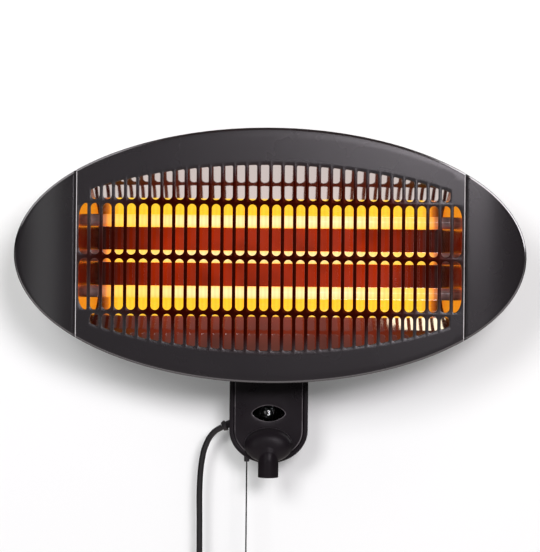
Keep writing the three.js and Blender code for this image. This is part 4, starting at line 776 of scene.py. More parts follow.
def cap_grids(side):
    """Rows of constant share between the seam and the half oval, then the rim's profile carried along the
    half oval, then the same rows back along the inside. The front dips in a groove, h (1 - u / w)^2."""
    turn = np.linspace(-1, 1, 73)

    def outline(inset):
        angle = math.acos(CAP_EDGE / (HEAD_A - inset)) * turn
        return (HEAD_A - inset) * np.cos(angle), (HEAD_B - inset) * np.sin(angle)

    def groove(x):
        return GROOVE_DEEP * np.clip(1 - (x - CAP_EDGE) / GROOVE_WIDE, 0, 1) ** 2

    x_out, z_out = outline(BEVEL[0][0])
    offsets = [0, 0.35, 0.8, 1.4, 2.0, 2.7]
    shares = np.linspace(0, 1, 14)[1:]
    rows = [np.minimum(CAP_EDGE + o, x_out) for o in offsets]
    rows += [rows[-1] + (x_out - rows[-1]) * t for t in shares]
    front = [(x, FACE + cap_sweep(x) + groove(x), z_out) for x in rows]
    rim = BEVEL[1:] + [(0, 11.4), (0.2, 12), (1, 12), (1.2, 11.4), (1.2, 2.6)]
    edge = []
    for inset, depth in rim:
        x, z = outline(inset)
        edge.append((x, FACE + depth + cap_sweep(x) + (groove(x) if depth < 2 else 0), z))
    inside = [(x, y + FACE_SHEET, z) for x, y, z in front[::-1]]
    rings = np.array([np.stack(r, 1) for r in [*front, *edge, *inside]])
    rings = np.concatenate([rings, rings[:1]])
    return [(rings * (side, 1, 1) + (0, 0, HEAD_Z)) * MM]


cap_black = finish_of("cap_satin", (0.011, 0.0094, 0.0107), (0.0138, 0.0118, 0.0135), (0.25, 0.29),
                      grain=1300.0, clouds=11.0, bump=0.006, dust=0.05)


def row_share(tree):
    """How far a point lies through its surface's rows, from 0 to 1: the V of its own UV map."""
    place = node_in(tree, "ShaderNodeUVMap", uv_map="surface").outputs[0]
    return node_in(tree, "ShaderNodeSeparateXYZ", place).outputs["Y"]


CAP_ROWS = 48
CAP_BEVEL = (20.5 / CAP_ROWS, 0.62 / CAP_ROWS)        # the bevel's middle row and half its width

# A painted highlight on the caps' bevel, brighter at the top.
paint_bevel_highlight(cap_black, band_of(cap_black.node_tree, row_share(cap_black.node_tree), *CAP_BEVEL))
for name, side in (("left", -1), ("right", 1)):
    piece(f"wing_{name}", cap_grids(side), cap_black, "head", [f"end_cap_{name}"], sharp=40)

# ---------------------------------------------------------------- rear shell
# A pressed bowl behind the face, with upright air slots in its flat back and a row along its top.

BACK_Y = -70.0
# Inset from the head's outline, y, and how much of the caps' sweep the bowl follows there.
SHELL_PROFILE = np.array([(1.5, -128.5, 1), (1.5, -116, 1), (18, -95, 0.6), (34, -78, 0.2), (46, BACK_Y, 0)])
BACK_SLOTS = [side * (82.25 + i * 14) for i in range(6) for side in (-1, 1)]
TOP_SLOTS = [(i - 3) * 38 for i in range(7)]


def shell_grid():
    """Oval rings along an eased profile to the flat back's middle, and the same rings one wall further
    in, from the middle back to the front edge."""
    profile = eased([*SHELL_PROFILE[:, :2], (60, BACK_Y)], 6, 5)[:-1]
    sweep = np.interp(profile[:, 1], SHELL_PROFILE[:, 1], SHELL_PROFILE[:, 2])
    slope = np.gradient(profile, axis=0)
    slope /= np.linalg.norm(slope, axis=1, keepdims=True)
    inner = profile + np.stack([slope[:, 1], -slope[:, 0]], 1)
    inner[0] = profile[0] + (1, 0)
    a = np.linspace(0, 2 * math.pi, 161)
    outside, inside = [], []
    for line, rings in ((profile, outside), (inner, inside)):
        for (inset, y), follow in zip(line, sweep):
            x = (HEAD_A - inset) * np.cos(a)
            rings.append(np.stack([x, y + follow * cap_sweep(x), (HEAD_B - inset) * np.sin(a)], 1))
        for share in (0.75, 0.5, 0.25, 0):
            rings.append(rings[len(line) - 1] * (share, 1, share))
    return (np.array(outside + inside[::-1] + outside[:1]) + (0, 0, HEAD_Z)) * MM


def slot_cutter(name, boxes):
    """Rounded bars joined in one mesh: each is a stadium, carried through the sheet along y or z."""
    grids = []
    for centre, half_long, half_wide, half_deep, axis in boxes:
        straight = half_long - half_wide
        loop = np.vstack([
            arc(0, straight, half_wide, half_wide, 0, 180, 8),
            arc(0, -straight, half_wide, half_wide, 180, 360, 8), [(half_wide, straight)]])
        rows = []
        for scale, depth in ((0, -1), (1, -1), (1, 1), (0, 1)):
            u, v = loop[:, 0] * scale, loop[:, 1] * scale
            w = np.full(len(loop), depth * half_deep)
            rows.append(np.stack([u, w, v] if axis == "y" else [v, u, w], 1))
        grids.append((np.array(rows) + centre) * MM)
    return piece(name, grids, moulded_black, "head")


def cut(thing, cutter):
    """Takes the cutter's volume out of the thing for good."""
    boolean = thing.modifiers.new("cut", "BOOLEAN")
    boolean.object = cutter
    boolean.solver = "EXACT"
    graph = bpy.context.evaluated_depsgraph_get()
    mesh = bpy.data.meshes.new_from_object(thing.evaluated_get(graph))
    thing.modifiers.clear()
    thing.data = mesh
    bpy.data.objects.remove(cutter)
    thing.data.set_sharp_from_angle(angle=math.radians(35))


shell_black = finish_of("shell_enamel", (0.013, 0.0125, 0.013), (0.02, 0.019, 0.02), (0.45, 0.58),
                        grain=1000.0, clouds=14.0, bump=0.03, dust=0.3)
shell = piece("rear_bowl", [shell_grid()], shell_black, "head", ["rear_shell"])
# The air slots, then the holes of the four bracket screws and of the lead's grommet.
slots = [((x, BACK_Y, HEAD_Z), 22, 2.25, 6, "y") for x in BACK_SLOTS]
slots += [((x, -89.5, HEAD_Z + 97), 12, 2.5, 27, "z") for x in TOP_SLOTS]
slots += [((x, BACK_Y, HEAD_Z + z), 2.3, 2.29, 4, "y") for x in (-14, 14) for z in (-45, -65)]
slots += [((46, BACK_Y, HEAD_Z - 55), 7.3, 7.29, 4, "y")]
cut(shell, slot_cutter("shell_slots", slots))

# ---------------------------------------------------------------- reflector
# A folded trough of mirror-bright sheet behind the tubes. Its folds run the whole length, and its lips
# follow the oval near the ends. A bright plate closes each end.

TROUGH_FACETS = [(6, 15), (23, 28), (26, 18)]
TROUGH_HALF = 188.0
TROUGH_SHEET = (1, 0.45)         # how far the sheet's back stands off, along y and along z


def trough_line():
    """The folded line from the top lip to the bottom one: flat behind the tubes, then leaning facets."""
    y, z = FACE + 42.6, 41.0
    half = [(y, z)]
    for rise, lean in TROUGH_FACETS:
        y -= rise * math.tan(math.radians(lean))
        z += rise
        half.append((y, z))
    half.append((FACE + 1.5, z))
    half = np.array(half)
    return np.vstack([half[::-1], half * (1, -1)]) + (0, FIELD_Z)


def shell_inset(y):
    """The bowl's inset at a depth, straight between its profile's points."""
    return np.interp(y, SHELL_PROFILE[:, 1], SHELL_PROFILE[:, 0])


def trough_grid():
    """The folded line over the trough's length, held inside the bowl: |z| <= b sqrt(1 - (x / a)^2)."""
    line = eased(trough_line(), 0.7, 3)
    fine = np.vstack([np.vstack([p, between(p, q, 3)]) for p, q in zip(line, line[1:])] + [line[-1:]])
    x = np.linspace(-TROUGH_HALF, TROUGH_HALF, 95)[:, None]
    sides = []
    for thick in (0, 1):
        y = fine[:, 0] + thick * TROUGH_SHEET[0]
        z = fine[:, 1] + thick * TROUGH_SHEET[1] * np.sign(fine[:, 1])
        inset = shell_inset(y) + 1.9
        limit = (HEAD_B - inset) * np.sqrt(1 - (x / (HEAD_A - inset)) ** 2) - 0.6 * (1 - thick)
        held = np.clip(z[None, :], -limit, limit)
        sides.append(np.stack([np.broadcast_to(x, held.shape), np.broadcast_to(y, held.shape), held], -1))
    front, back = sides
    loop = np.concatenate([front, back[:, ::-1], front[:, :1]], 1)
    return (loop + (0, 0, HEAD_Z)) * MM


bright_sheet = finish_of("bright_sheet", (0.88, 0.86, 0.84), (0.93, 0.92, 0.9), (0.04, 0.08), 1.0,
                         grain=60.0, clouds=30.0, bump=0.03, dust=0.0)


def dull_glow(material, levels, reach):
    """The red that the tubes throw on the sheet's front. It changes with height, in (mm, colour) steps,
    dies out along |x| between two distances and is uneven in clouds."""
    tree = material.node_tree
    low, high = levels[0][0], levels[-1][0]
    place = node_in(tree, "ShaderNodeTexCoord").outputs
    spot = node_in(tree, "ShaderNodeSeparateXYZ", place["Object"]).outputs
    tones = ramped(tree, ranged(tree, spot["Z"], low * MM, high * MM),
                   [((z - low) / (high - low), tone) for z, tone in levels])
    fade = ranged(tree, calc(tree, "ABSOLUTE", spot["X"]), reach[1] * MM, reach[0] * MM, kind="SMOOTHSTEP")
    uneven = node_in(tree, "ShaderNodeTexNoise", Vector=place["Object"], Scale=28.0, Detail=2.0)
    share = calc(tree, "MULTIPLY", fade, ranged(tree, uneven.outputs["Fac"], 0, 1, 0.3, 1.5))
    facing = node_in(tree, "ShaderNodeSeparateXYZ", place["Normal"]).outputs["Y"]
    lit = calc(tree, "MULTIPLY", share, calc(tree, "LESS_THAN", facing, -0.2))
    glow = mixed(tree, lit, (0, 0, 0), tones)
    feed(tree.nodes["Principled BSDF"], Emission_Color=glow, Emission_Strength=1)


RED_LEVELS = [
    (20, (0.1, 0.018, 0.009)), (54, (0.22, 0.026, 0.012)), (62, (0.37, 0.022, 0.002)),
    (152, (0.37, 0.022, 0.002)), (160, (0.05, 0.01, 0.005)), (200, (0.04, 0.01, 0.006)),
]
RED_REACH = (90, 178)

dull_glow(bright_sheet, RED_LEVELS, RED_REACH)
piece("trough", [trough_grid()], bright_sheet, "head", ["reflector"], sharp=12)
tinted_sheet = finish_of("tinted_sheet", (0.62, 0.32, 0.24), (0.8, 0.46, 0.36), (0.09, 0.17), 1.0,
                         grain=300.0, clouds=45.0, bump=0.01, dust=0.0)
for name in ("reflector_end_left", "reflector_end_right"):
    dress(name, tinted_sheet)

# ---------------------------------------------------------------- tubes, wires and ceramic caps
# Three milky quartz tubes, each with a close-wound wire inside and a ceramic cap at both ends. The wound
# part glows; the cold ends are brownish.

TUBE_Y = -104.0
TUBE_R, TUBE_BORE = 6.0, 4.8
TUBE_HALF = 190.0
GLOW_HALF = 158.0
WIRE_R, COIL_R = 0.45, 3.3
WIRE_TURNS = 110
BAND_DIP = 0.86                  # what is left of the glow between two turns
HOTTEST_FADE = (0.15, 0.06)      # metres from halfway between which the cream comes in
FADING_TONE = (1, 0.16, 0.004)
TUBE_HEIGHTS = {"upper": 33.4, "middle": -1.5, "lower": -36.4}


def glow_shader(name, cold, hottest, seen, edge, mirrored, thrown, along):
    """A surface that glows over the wound length and fades towards its cold ends. The glow falls off
    along |x| and carries faint bands from the wire's turns. Seen directly it is cream halfway along, where
    it is hottest, and yellow elsewhere. In a mirror it is yellow, and the light it throws is red."""
    material = bpy.data.materials.new(name)
    material.use_nodes = True
    tree = material.node_tree
    place = node_in(tree, "ShaderNodeTexCoord").outputs["Object"]
    away = calc(tree, "ABSOLUTE", node_in(tree, "ShaderNodeSeparateXYZ", place).outputs["X"])
    fade = ranged(tree, away, along[1] * MM, along[0] * MM, kind="SMOOTHSTEP")
    bands = node_in(tree, "ShaderNodeTexWave", wave_type="BANDS", bands_direction="X", Vector=place,
                    Scale=70.0, Distortion=0.6)
    power = calc(tree, "MULTIPLY", fade, ranged(tree, bands.outputs["Fac"], 0, 1, BAND_DIP))
    middle = ranged(tree, away, *HOTTEST_FADE, kind="SMOOTHSTEP")
    facing = node_in(tree, "ShaderNodeLayerWeight", Blend=0.35).outputs["Facing"]
    direct = mixed(tree, facing, mixed(tree, middle, seen, hottest), edge)
    ray = node_in(tree, "ShaderNodeLightPath").outputs
    other = mixed(tree, ray["Is Glossy Ray"], thrown, mirrored)
    colour = mixed(tree, ray["Is Camera Ray"], other, direct)
    warm = mixed(tree, power, FADING_TONE, colour)
    glow = mixed(tree, calc(tree, "MULTIPLY", power, 2.5, use_clamp=True), (0, 0, 0), warm)
    uneven = node_in(tree, "ShaderNodeTexNoise", Vector=place, Scale=22.0, Detail=3.0)
    feed(tree.nodes["Principled BSDF"], Base_Color=mixed(tree, uneven.outputs["Fac"], *cold), Roughness=0.22,
         Emission_Color=glow, Emission_Strength=1)
    return material


hot_quartz = glow_shader(
    "hot_quartz", cold=((0.11, 0.06, 0.057), (0.2, 0.12, 0.115)), hottest=(1.25, 0.94, 0.4),
    seen=(1.15, 0.76, 0.07), edge=(1.1, 0.62, 0.03), mirrored=(1.15, 0.74, 0.03), thrown=(15, 0.9, 0.01),
    along=(146, 169))
hot_wire = glow_shader(
    "hot_wire", cold=((0.2, 0.17, 0.15), (0.3, 0.26, 0.23)), hottest=(1.3, 0.9, 0.5),
    seen=(1.2, 0.8, 0.3), edge=(1.2, 0.7, 0.2), mirrored=(1.2, 0.7, 0.1), thrown=(3, 0.5, 0.05),
    along=(154, 164))
steatite = finish_of("steatite", (0.62, 0.57, 0.5), (0.74, 0.7, 0.63), (0.45, 0.6), grain=1400.0, clouds=60.0,
                     bump=0.03, dust=0.0)


def wound_route(half, turns):
    """Straight tails at both ends and a helix between them, whose x rises evenly with the angle."""
    a = np.linspace(0, 2 * math.pi * turns, turns * 14 + 1)
    ease = np.clip(np.minimum(a, a[-1] - a) / (2 * math.pi), 0, 1)
    x = np.linspace(-half, half, len(a))
    helix = np.stack([x, COIL_R * ease * np.sin(a), COIL_R * ease * np.cos(a)], 1)
    tail = np.array([(-TUBE_HALF + 0.5, 0, 0), (-half - 2, 0, 0)])
    return np.vstack([tail, helix, -tail[::-1]])


TUBE_PROFILE = eased([
    (TUBE_BORE, -TUBE_HALF), (TUBE_R, -TUBE_HALF), (TUBE_R, TUBE_HALF), (TUBE_BORE, TUBE_HALF),
    (TUBE_BORE, -TUBE_HALF)], 0.5, 3)
CERAMIC_PROFILE = eased([
    (6.3, 181), (8, 181), (8, 184.5), (7.5, 185.2), (7.5, 186.2), (8, 187), (8, 195), (5, 198),
    (0, 198), (0, 190.3), (6.3, 190.3), (6.3, 181)], 0.4, 3)

for level, z in TUBE_HEIGHTS.items():
    centre = np.array((0, TUBE_Y, HEAD_Z + z)) * MM
    wire = capped(tube_surface(wound_route(GLOW_HALF, WIRE_TURNS) * MM + centre, WIRE_R * MM, 6, (0, 0.3, 1)))
    piece(f"glow_wire_{level}", [wire], hot_wire, "head", [f"heating_coil_{level}"])
    shape = np.vstack([TUBE_PROFILE, TUBE_PROFILE[:1]])
    piece(f"quartz_{level}", [turned(shape, centre, (1, 0, 0), 32)], hot_quartz, "head",
          [f"quartz_tube_{level}"])
    for name, side in (("left", -1), ("right", 1)):
        grid = turned(CERAMIC_PROFILE * (1, side), centre, (1, 0, 0), 36)
        piece(f"ceramic_{level}_{name}", [grid], steatite, "head", [f"ceramic_cap_{level}_{name}"])
dress("terminal_block", steatite, 0.4)

# ---------------------------------------------------------------- tilt bracket and pivot
# A folded steel bracket on the bowl's back, its screws, and the bolt, washers and hand knob of the hinge.

bracket_black = finish_of("bracket_enamel", (0.014, 0.0135, 0.014), (0.022, 0.021, 0.022), (0.35, 0.48),
                          grain=1200.0, bump=0.02)
zinc = finish_of("zinc_steel", (0.5, 0.49, 0.46), (0.64, 0.63, 0.61), (0.26, 0.4), 1.0, grain=1500.0,
                 clouds=60.0, bump=0.004, dust=0.0)
switch_brown = finish_of("switch_brown", (0.028, 0.016, 0.01), (0.045, 0.026, 0.016), (0.35, 0.5))
pulley_white = finish_of("pulley_white", (0.66, 0.64, 0.6), (0.74, 0.72, 0.68), (0.35, 0.5))
DRESSED = (
    (bracket_black, 0.4, ["tilt_bracket"]),
    (zinc, 0.25, [
        "bracket_screw_1", "bracket_screw_2", "bracket_screw_3", "bracket_screw_4", "pivot_bolt",
        "washer_left", "washer_right", "box_screw_left", "box_screw_right", "switch_shaft",
        "switch_bracket"]),
    (zinc, 0.4, ["wall_plate"]),
    (moulded_black, 0.4, ["head_grommet", "box_grommet"]),
    (switch_brown, 0.5, ["switch_body"]),
    (pulley_white, 0.2, ["ratchet_pulley"]),
)
for material, bevel, names in DRESSED:
    for name in names:
        dress(name, material, bevel)

PIVOT_Y, PIVOT_Z = -40.0, 10.0
KNOB_START, KNOB_SOCKET, KNOB_DISH, KNOB_FACE = 25.5, 39.5, 42.6, 43.5       # along the pivot
KNOB_R, KNOB_BORE = 15.0, 4.3
KNOB_DIPS, KNOB_DIP = 6, 0.13


def knob_grid():
    """A turned profile whose radius dips n times round it: r (1 - d (0.5 + 0.5 cos n a)^3). The dip grows
    from nothing at 10 mm to its whole depth at 14 mm."""
    profile = eased([
        (KNOB_BORE, KNOB_SOCKET), (KNOB_BORE, KNOB_START), (9, KNOB_START), (KNOB_R, 29.5), (KNOB_R, 42),
        (13.5, KNOB_FACE), (10.5, KNOB_FACE), (9.5, KNOB_DISH), (0, KNOB_DISH)], 0.9, 4)
    profile = np.vstack([[(0, KNOB_SOCKET)], profile])
    a = np.linspace(0, 2 * math.pi, 145)[None]
    deep = KNOB_DIP * np.clip((profile[:, :1] - 10) / 4, 0, 1)
    r = profile[:, :1] * (1 - deep * (0.5 + 0.5 * np.cos(KNOB_DIPS * a)) ** 3)
    x = np.broadcast_to(profile[:, 1:], r.shape)
    return np.stack([x, PIVOT_Y + r * np.cos(a), PIVOT_Z + r * np.sin(a)], -1) * MM


piece("hand_knob", [knob_grid()], moulded_black, "clamp_knob", ["tilt_knob"])

# ---------------------------------------------------------------- control box
# Two satin black shells. The rear one carries the hinge's barrel; the cover sits inside its rim band and
# has the eye-shaped window. Straight sides, small top corners, and half an oval below.

BOX_HALF, BOX_TOP, BOX_SPRING, BOX_DROP = 39.5, -8.0, -65.3, 33.1
BOX_CORNER = 6.0
EYE = (0.0, -48.0)


def box_loop(inset, count=20):
    """The box's outline drawn in by an inset: corner arcs at the top, straight sides, half an oval below."""
    half, top = BOX_HALF - inset, BOX_TOP - inset
    corner = max(BOX_CORNER - inset, 1.2)
    right = arc(half - corner, top - corner, corner, corner, 0, 90, 8)
    left = arc(corner - half, top - corner, corner, corner, 90, 180, 8)
    under = arc(0, BOX_SPRING, half, BOX_DROP - inset, 180, 360, 3 * count)
    loop = np.vstack([right, between(right[-1], left[0], count), left,
                      between(left[-1], under[0], count), under, between(under[-1], right[0], count)])
    return np.vstack([loop, loop[:1]])


def stacked(rows):
    """Rings from rows of a flat loop of (x, z) points and its y."""
    rings = [np.column_stack([loop[:, 0], np.full(len(loop), y), loop[:, 1]]) for loop, y in rows]
    return np.array(rings) * MM


def rear_rows():
    """Inset and y, from the back's middle round the outside to the rim band, and back along the inside."""
    outline = eased([
        (12, -2.8), (0, -2.8), (0, -55), (4.7, -55), (4.7, -52.8), (2.2, -52.8), (2.2, -5), (12, -5)], 1.1, 5)
    middle = box_loop(12) - EYE
    rows = [(middle * s + EYE, -2.8) for s in (0, 0.5)]
    rows += [(box_loop(inset), y) for inset, y in outline]
    return rows + [(middle * s + EYE, -5.0) for s in (0.5, 0)]


def neck_grid():
    """A rounded block from the box's top into the barrel: |x / 20|^8 + |(y - pivot) / 9|^5 = 1."""
    a = np.linspace(0, 2 * math.pi, 97)
    x = 20 * np.sign(np.cos(a)) * np.abs(np.cos(a)) ** (2 / 8)
    y = 9 * np.sign(np.sin(a)) * np.abs(np.sin(a)) ** (2 / 5) + PIVOT_Y
    return np.array([np.stack([x, y, np.full_like(a, z)], 1) for z in (-11.5, -4, 2, 8)]) * MM


BOX_TONES = (0.0065, 0.0046, 0.0063), (0.0095, 0.0072, 0.0093)
BOX_SATIN = dict(grain=1300.0, clouds=26.0, bump=0.014, dust=0.03, Specular_IOR_Level=0.34)
box_black = finish_of("box_satin", *BOX_TONES, (0.26, 0.36), **BOX_SATIN)
barrel = turned(eased([(4.3, -20), (15, -20), (15, 20), (4.3, 20), (4.3, -20)], 1.0, 4),
                np.array((0, PIVOT_Y, PIVOT_Z)) * MM, (1, 0, 0), 72)
piece("box_back", [stacked(rear_rows()), capped(neck_grid()), barrel], box_black, "base", ["box_rear"])


FRONT_Y, SKIRT_Y = -58.0, -52.5
SKIRT_INSET, COVER_ROUND, COVER_WALL = 5.0, 1.2, 2.0
COVER_FLAT = box_loop(SKIRT_INSET + COVER_ROUND, 30)
EYE_HALF_WIDE, EYE_HALF_HIGH, EYE_POWER = 16.4, 8.0, 1.7


def ray_to(loop, wide, high, power):
    """The points of |x / w|^p + |z / h|^p = 1 about the eye's centre, in step with another loop's."""
    way = loop - EYE
    way = way / np.linalg.norm(way, axis=1, keepdims=True)
    reach = np.abs(way[:, :1] / wide) ** power + np.abs(way[:, 1:] / high) ** power
    return EYE + way * reach ** (-1 / power)


def eye_loop(grow):
    """The window's eye shape, grown outwards."""
    return ray_to(COVER_FLAT, EYE_HALF_WIDE + 1.2 * grow, EYE_HALF_HIGH + grow, EYE_POWER)


def cover_rows():
    """From the window's inner edge over its rounded lip and the flat front to the rounded edge and skirt,
    and back along the inside."""
    lip = ((0, 2), (0, 0.7), (0.12, 0.3), (0.35, 0.07), (0.75, 0))
    rows = [(eye_loop(grow), FRONT_Y + depth) for grow, depth in lip]
    near = rows[-1][0]
    rows += [(near + (COVER_FLAT - near) * t, FRONT_Y) for t in (0.15, 0.35, 0.6, 0.8, 0.93, 1)]
    for a in np.radians([18, 36, 54, 72, 90]):
        inset = SKIRT_INSET + COVER_ROUND * (1 - math.sin(a))
        rows.append((box_loop(inset, 30), FRONT_Y + COVER_ROUND * (1 - math.cos(a))))
    for inset, y in ((0, SKIRT_Y), (COVER_WALL, SKIRT_Y), (COVER_WALL, FRONT_Y + 2)):
        rows.append((box_loop(SKIRT_INSET + inset, 30), y))
    return rows + [rows[0]]


HIGHLIGHT_CLOUDS = 45.0


def paint_edge_highlight(material, bands, tone):
    """Lightens rounded edges with a painted highlight: bands of the surface's own UV, each a middle and a
    half width, broken up by clouds."""
    tree = material.node_tree
    shader = tree.nodes["Principled BSDF"]
    paint = shader.inputs["Base Color"].links[0].from_socket
    values = node_in(tree, "ShaderNodeGroup", HIGHLIGHT_CLOUDS, node_tree=SURFACE_GRAIN).outputs
    share, mask = row_share(tree), 0
    for middle, half in bands:
        mask = calc(tree, "MAXIMUM", mask, band_of(tree, share, middle, half))
    highlit = calc(tree, "MULTIPLY", mask, ranged(tree, values["Cloud"], 0.3, 0.6))
    feed(shader, Base_Color=mixed(tree, highlit, paint, tone))


cover_black = finish_of("cover_satin", *BOX_TONES, (0.26, 0.36), **BOX_SATIN)
# Painted highlights on the window's lip and on the cover's rounded edge.
paint_edge_highlight(cover_black, [(0.158, 0.05), (0.6, 0.07)], (0.13, 0.115, 0.125))
piece("box_cover", [stacked(cover_rows())], cover_black, "base", ["box_front"])


def glass_like(name, tint):
    """Clear plastic whose gloss is a little uneven."""
    material = bpy.data.materials.new(name)
    material.use_nodes = True
    tree = material.node_tree
    values = node_in(tree, "ShaderNodeGroup", node_tree=SURFACE_GRAIN).outputs
    feed(tree.nodes["Principled BSDF"], Base_Color=(*tint, 1), Transmission_Weight=1, IOR=1.2,
         Roughness=ranged(tree, values["Cloud"], 0, 1, 0, 0.015))
    return material


PANE_ROWS = [(0, -55.7), (0.5, -55.7), (0.98, -55.7), (1, -55.5), (1, -54.5), (0.5, -54.5), (0, -54.5)]
pane = eye_loop(1.3)
piece("window_pane", [stacked([((pane - EYE) * share + EYE, y) for share, y in PANE_ROWS])],
      glass_like("clear_pane", (0.86, 0.86, 0.88)), "base", ["window_lens"])

# ---------------------------------------------------------------- number drum
# A small black drum behind the window, with the switch's four positions round it in white. A thin black
# mask between the two leaves only the digit in sight. It is painted shade: a near-black sheet with almost no
# gloss that keeps the window's inside dark.

SHAFT_Y, SHAFT_Z = -43.0, -48.0
DRUM_CENTRE = np.array((0, SHAFT_Y, SHAFT_Z)) * MM
DRUM_R, DRUM_HALF, SHAFT_HOLE = 11.0, 5.0, 2.3
drum_black = finish_of("drum_matt", (0.003, 0.003, 0.0034), (0.006, 0.0055, 0.0065), (0.5, 0.65),
                       grain=1800.0, Specular_IOR_Level=0.2)
drum_profile = eased([
    (SHAFT_HOLE, -DRUM_HALF), (DRUM_R, -DRUM_HALF), (DRUM_R, DRUM_HALF), (SHAFT_HOLE, DRUM_HALF),
    (SHAFT_HOLE, -DRUM_HALF)], 0.5, 3)
piece("drum", [turned(drum_profile, DRUM_CENTRE, (1, 0, 0), 72)], drum_black, "drum", ["number_drum"])

MASK_FRONT, MASK_BACK = -54.2, -53.7
OPENING_HALF_WIDE, OPENING_HALF_HIGH, OPENING_POWER = 5.9, 7.3, 8


def mask_rows():
    """An eye-shaped plate with an upright opening for the drum, squarer by its higher power."""
    outer = eye_loop(1.9)
    opening = ray_to(COVER_FLAT, OPENING_HALF_WIDE, OPENING_HALF_HIGH, OPENING_POWER)
    loops = ((outer, MASK_FRONT), (opening, MASK_FRONT), (opening, MASK_BACK), (outer, MASK_BACK))
    return [*loops, loops[0]]


# Painted shade: near black and almost without gloss, so the window's inside stays dark.
mask_painted_shade = finish_of("mask_painted_shade", (0.001, 0.001, 0.001), (0.0016, 0.0015, 0.0016), (0.75, 0.9), dust=0.0,
                       Specular_IOR_Level=0.02)
piece("window_mask", [stacked(mask_rows())], mask_painted_shade, "base")
# White print that also glows a little: painted light that keeps the digit bright behind the pane.
print_white_self_lit = finish_of("print_white_self_lit", (0.78, 0.78, 0.78), (0.86, 0.86, 0.86), (0.5, 0.6), dust=0.0,
                        Emission_Color=(0.9, 0.9, 0.92, 1), Emission_Strength=0.75)


DIGIT_SIZE = 7.0
DIGIT_BOLD, DIGIT_DEPTH = 0.03, 0.05
DIGIT_R = 11.06                  # the middle of its depth, so that it stands on the drum
DIGIT_CUTS = np.linspace(-3, 3, 17)


def numeral(text, turn):
    """A digit laid on the drum: its height becomes an angle, its depth a radius. It is sliced across its
    height first, so that its long strokes follow the round."""
    curve = bpy.data.curves.new(f"digit_{text}", "FONT")
    curve.body = text
    curve.align_x = curve.align_y = "CENTER"
    curve.size, curve.offset, curve.extrude = DIGIT_SIZE * MM, DIGIT_BOLD * MM, DIGIT_DEPTH * MM
    thing = bpy.data.objects.new(f"digit_{text}", curve)
    bpy.context.collection.objects.link(thing)
    mesh = bpy.data.meshes.new_from_object(thing.evaluated_get(bpy.context.evaluated_depsgraph_get()))
    bpy.data.objects.remove(thing)
    flat = bmesh.new()
    flat.from_mesh(mesh)
    for cut_height in DIGIT_CUTS * MM:
        bmesh.ops.bisect_plane(flat, geom=[*flat.verts, *flat.edges, *flat.faces],
                               plane_co=(0, cut_height, 0), plane_no=(0, 1, 0))
    flat.to_mesh(mesh)
    flat.free()
    co = np.empty(len(mesh.vertices) * 3)
    mesh.vertices.foreach_get("co", co)
    co = co.reshape(-1, 3)
    angle = co[:, 1] / (DRUM_R * MM) + turn
    radius = DIGIT_R * MM + co[:, 2]
    mesh.vertices.foreach_set("co", (np.stack(
        [co[:, 0], -radius * np.cos(angle), radius * np.sin(angle)], 1) + DRUM_CENTRE).ravel())
    mesh.materials.clear()
    mesh.materials.append(print_white_self_lit)
    digit = bpy.data.objects.new(f"digit_{text}", mesh)
    bpy.context.collection.objects.link(digit)
    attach(digit, "drum")


for position, text in enumerate("3210"):
    numeral(text, math.radians(90 * position))

# ---------------------------------------------------------------- return spring
# A torsion spring round the switch's shaft, with one straight leg to the bracket.

SPRING_R, SPRING_TURNS = 6.0, 5
SPRING_WIRE_R = 0.45
SPRING_LEFT, SPRING_RIGHT = -17.5, -9.0
LEG_BACK, LEG_FRONT = -7.1, -42.4


def spring_route():
    """A leg along y below the shaft, then a helix (y + r cos a, z + r sin a) that runs evenly along x."""
    a = -math.pi / 2 - np.linspace(0, 2 * math.pi * SPRING_TURNS, 32 * SPRING_TURNS + 1)
    x = np.linspace(SPRING_LEFT, SPRING_RIGHT, len(a))
    coiled = np.stack([x, SHAFT_Y + SPRING_R * np.cos(a), SHAFT_Z + SPRING_R * np.sin(a)], 1)
    low = SHAFT_Z - SPRING_R
    leg = np.linspace((SPRING_LEFT, LEG_BACK, low), (SPRING_LEFT, LEG_FRONT, low), 10)
    return np.vstack([leg, coiled[1:]])


piece("torsion_spring", [capped(tube_surface(spring_route() * MM, SPRING_WIRE_R * MM, 10, (1, 0.2, 0.1)))],
      zinc, "base", ["return_spring"])

# ---------------------------------------------------------------- pole socket
# A low oval dome on the cover that flows into a short open tube pointing down.

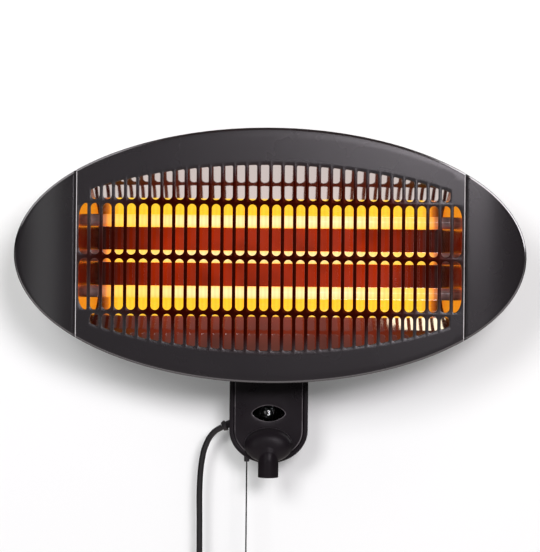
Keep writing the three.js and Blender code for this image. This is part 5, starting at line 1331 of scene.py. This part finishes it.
BOSS_A, BOSS_B, BOSS_RISE, BOSS_Z = 24.6, 17.6, 12.0, -79.6
BOSS_FOOT = -58.3                # just in front of the cover
SOCKET_R, SOCKET_BORE_R, SOCKET_Y, SOCKET_END = 10.2, 7.6, -62.5, -111.7
SMOOTH = 5                       # the width of the blend between the dome and the tube


def boss_grid():
    """A dome h = H sqrt(1 - q^3) over an oval, blended with the tube by a smooth maximum. The tube sinks
    into it as R sqrt(1 - t^2), t the share of the way up."""
    q = np.sin(np.linspace(0, math.pi / 2, 44))[:, None]
    a = np.linspace(0, 2 * math.pi, 129)[None]
    x, z = BOSS_A * q * np.cos(a), BOSS_B * q * np.sin(a)
    dome = BOSS_RISE * np.sqrt(np.clip(1 - q**3, 0, 1)) + 0 * a
    room = SOCKET_R**2 * (1 - np.clip((z + 16) / 16, 0, 1) ** 2) - x**2
    pipe = BOSS_FOOT - SOCKET_Y + np.sqrt(np.clip(room, 0, None)) + np.clip(room, None, 0) / 12
    soft = np.clip(SMOOTH - np.abs(dome - pipe), 0, None) / SMOOTH
    height = np.maximum(dome, pipe) + soft**2 * SMOOTH / 8
    height = height * np.clip((1 - q**2) * 12, 0, 1) ** 0.5
    return np.stack([x, BOSS_FOOT - height, BOSS_Z + z], -1) * MM


socket_black = finish_of("socket_satin", *BOX_TONES, (0.34, 0.44), grain=1300.0, clouds=26.0, bump=0.008,
                         dust=0.03, Specular_IOR_Level=0.22, Sheen_Weight=0.03, Sheen_Roughness=0.25)
# A painted highlight in a thin arc round the dome's foot.
paint_edge_highlight(socket_black, [(0.885, 0.014)], (0.13, 0.115, 0.13))
# From the bore's floor round the tube's lower edge, and up to where it sinks into the dome.
BORE_END = SOCKET_END + 28
pipe_profile = eased([
    (0, BORE_END), (SOCKET_BORE_R, BORE_END), (SOCKET_BORE_R, SOCKET_END), (SOCKET_R, SOCKET_END),
    (SOCKET_R, BOSS_Z - 16), (9.7, BOSS_Z - 13), (8.6, BOSS_Z - 10), (6, BOSS_Z - 8), (0, BOSS_Z - 7),
], 0.7, 4)
piece("socket", [boss_grid(), turned(pipe_profile, np.array((0, SOCKET_Y, 0)) * MM, (0, 0, 1), 64)],
      socket_black, "base", ["pole_socket"], sharp=50)
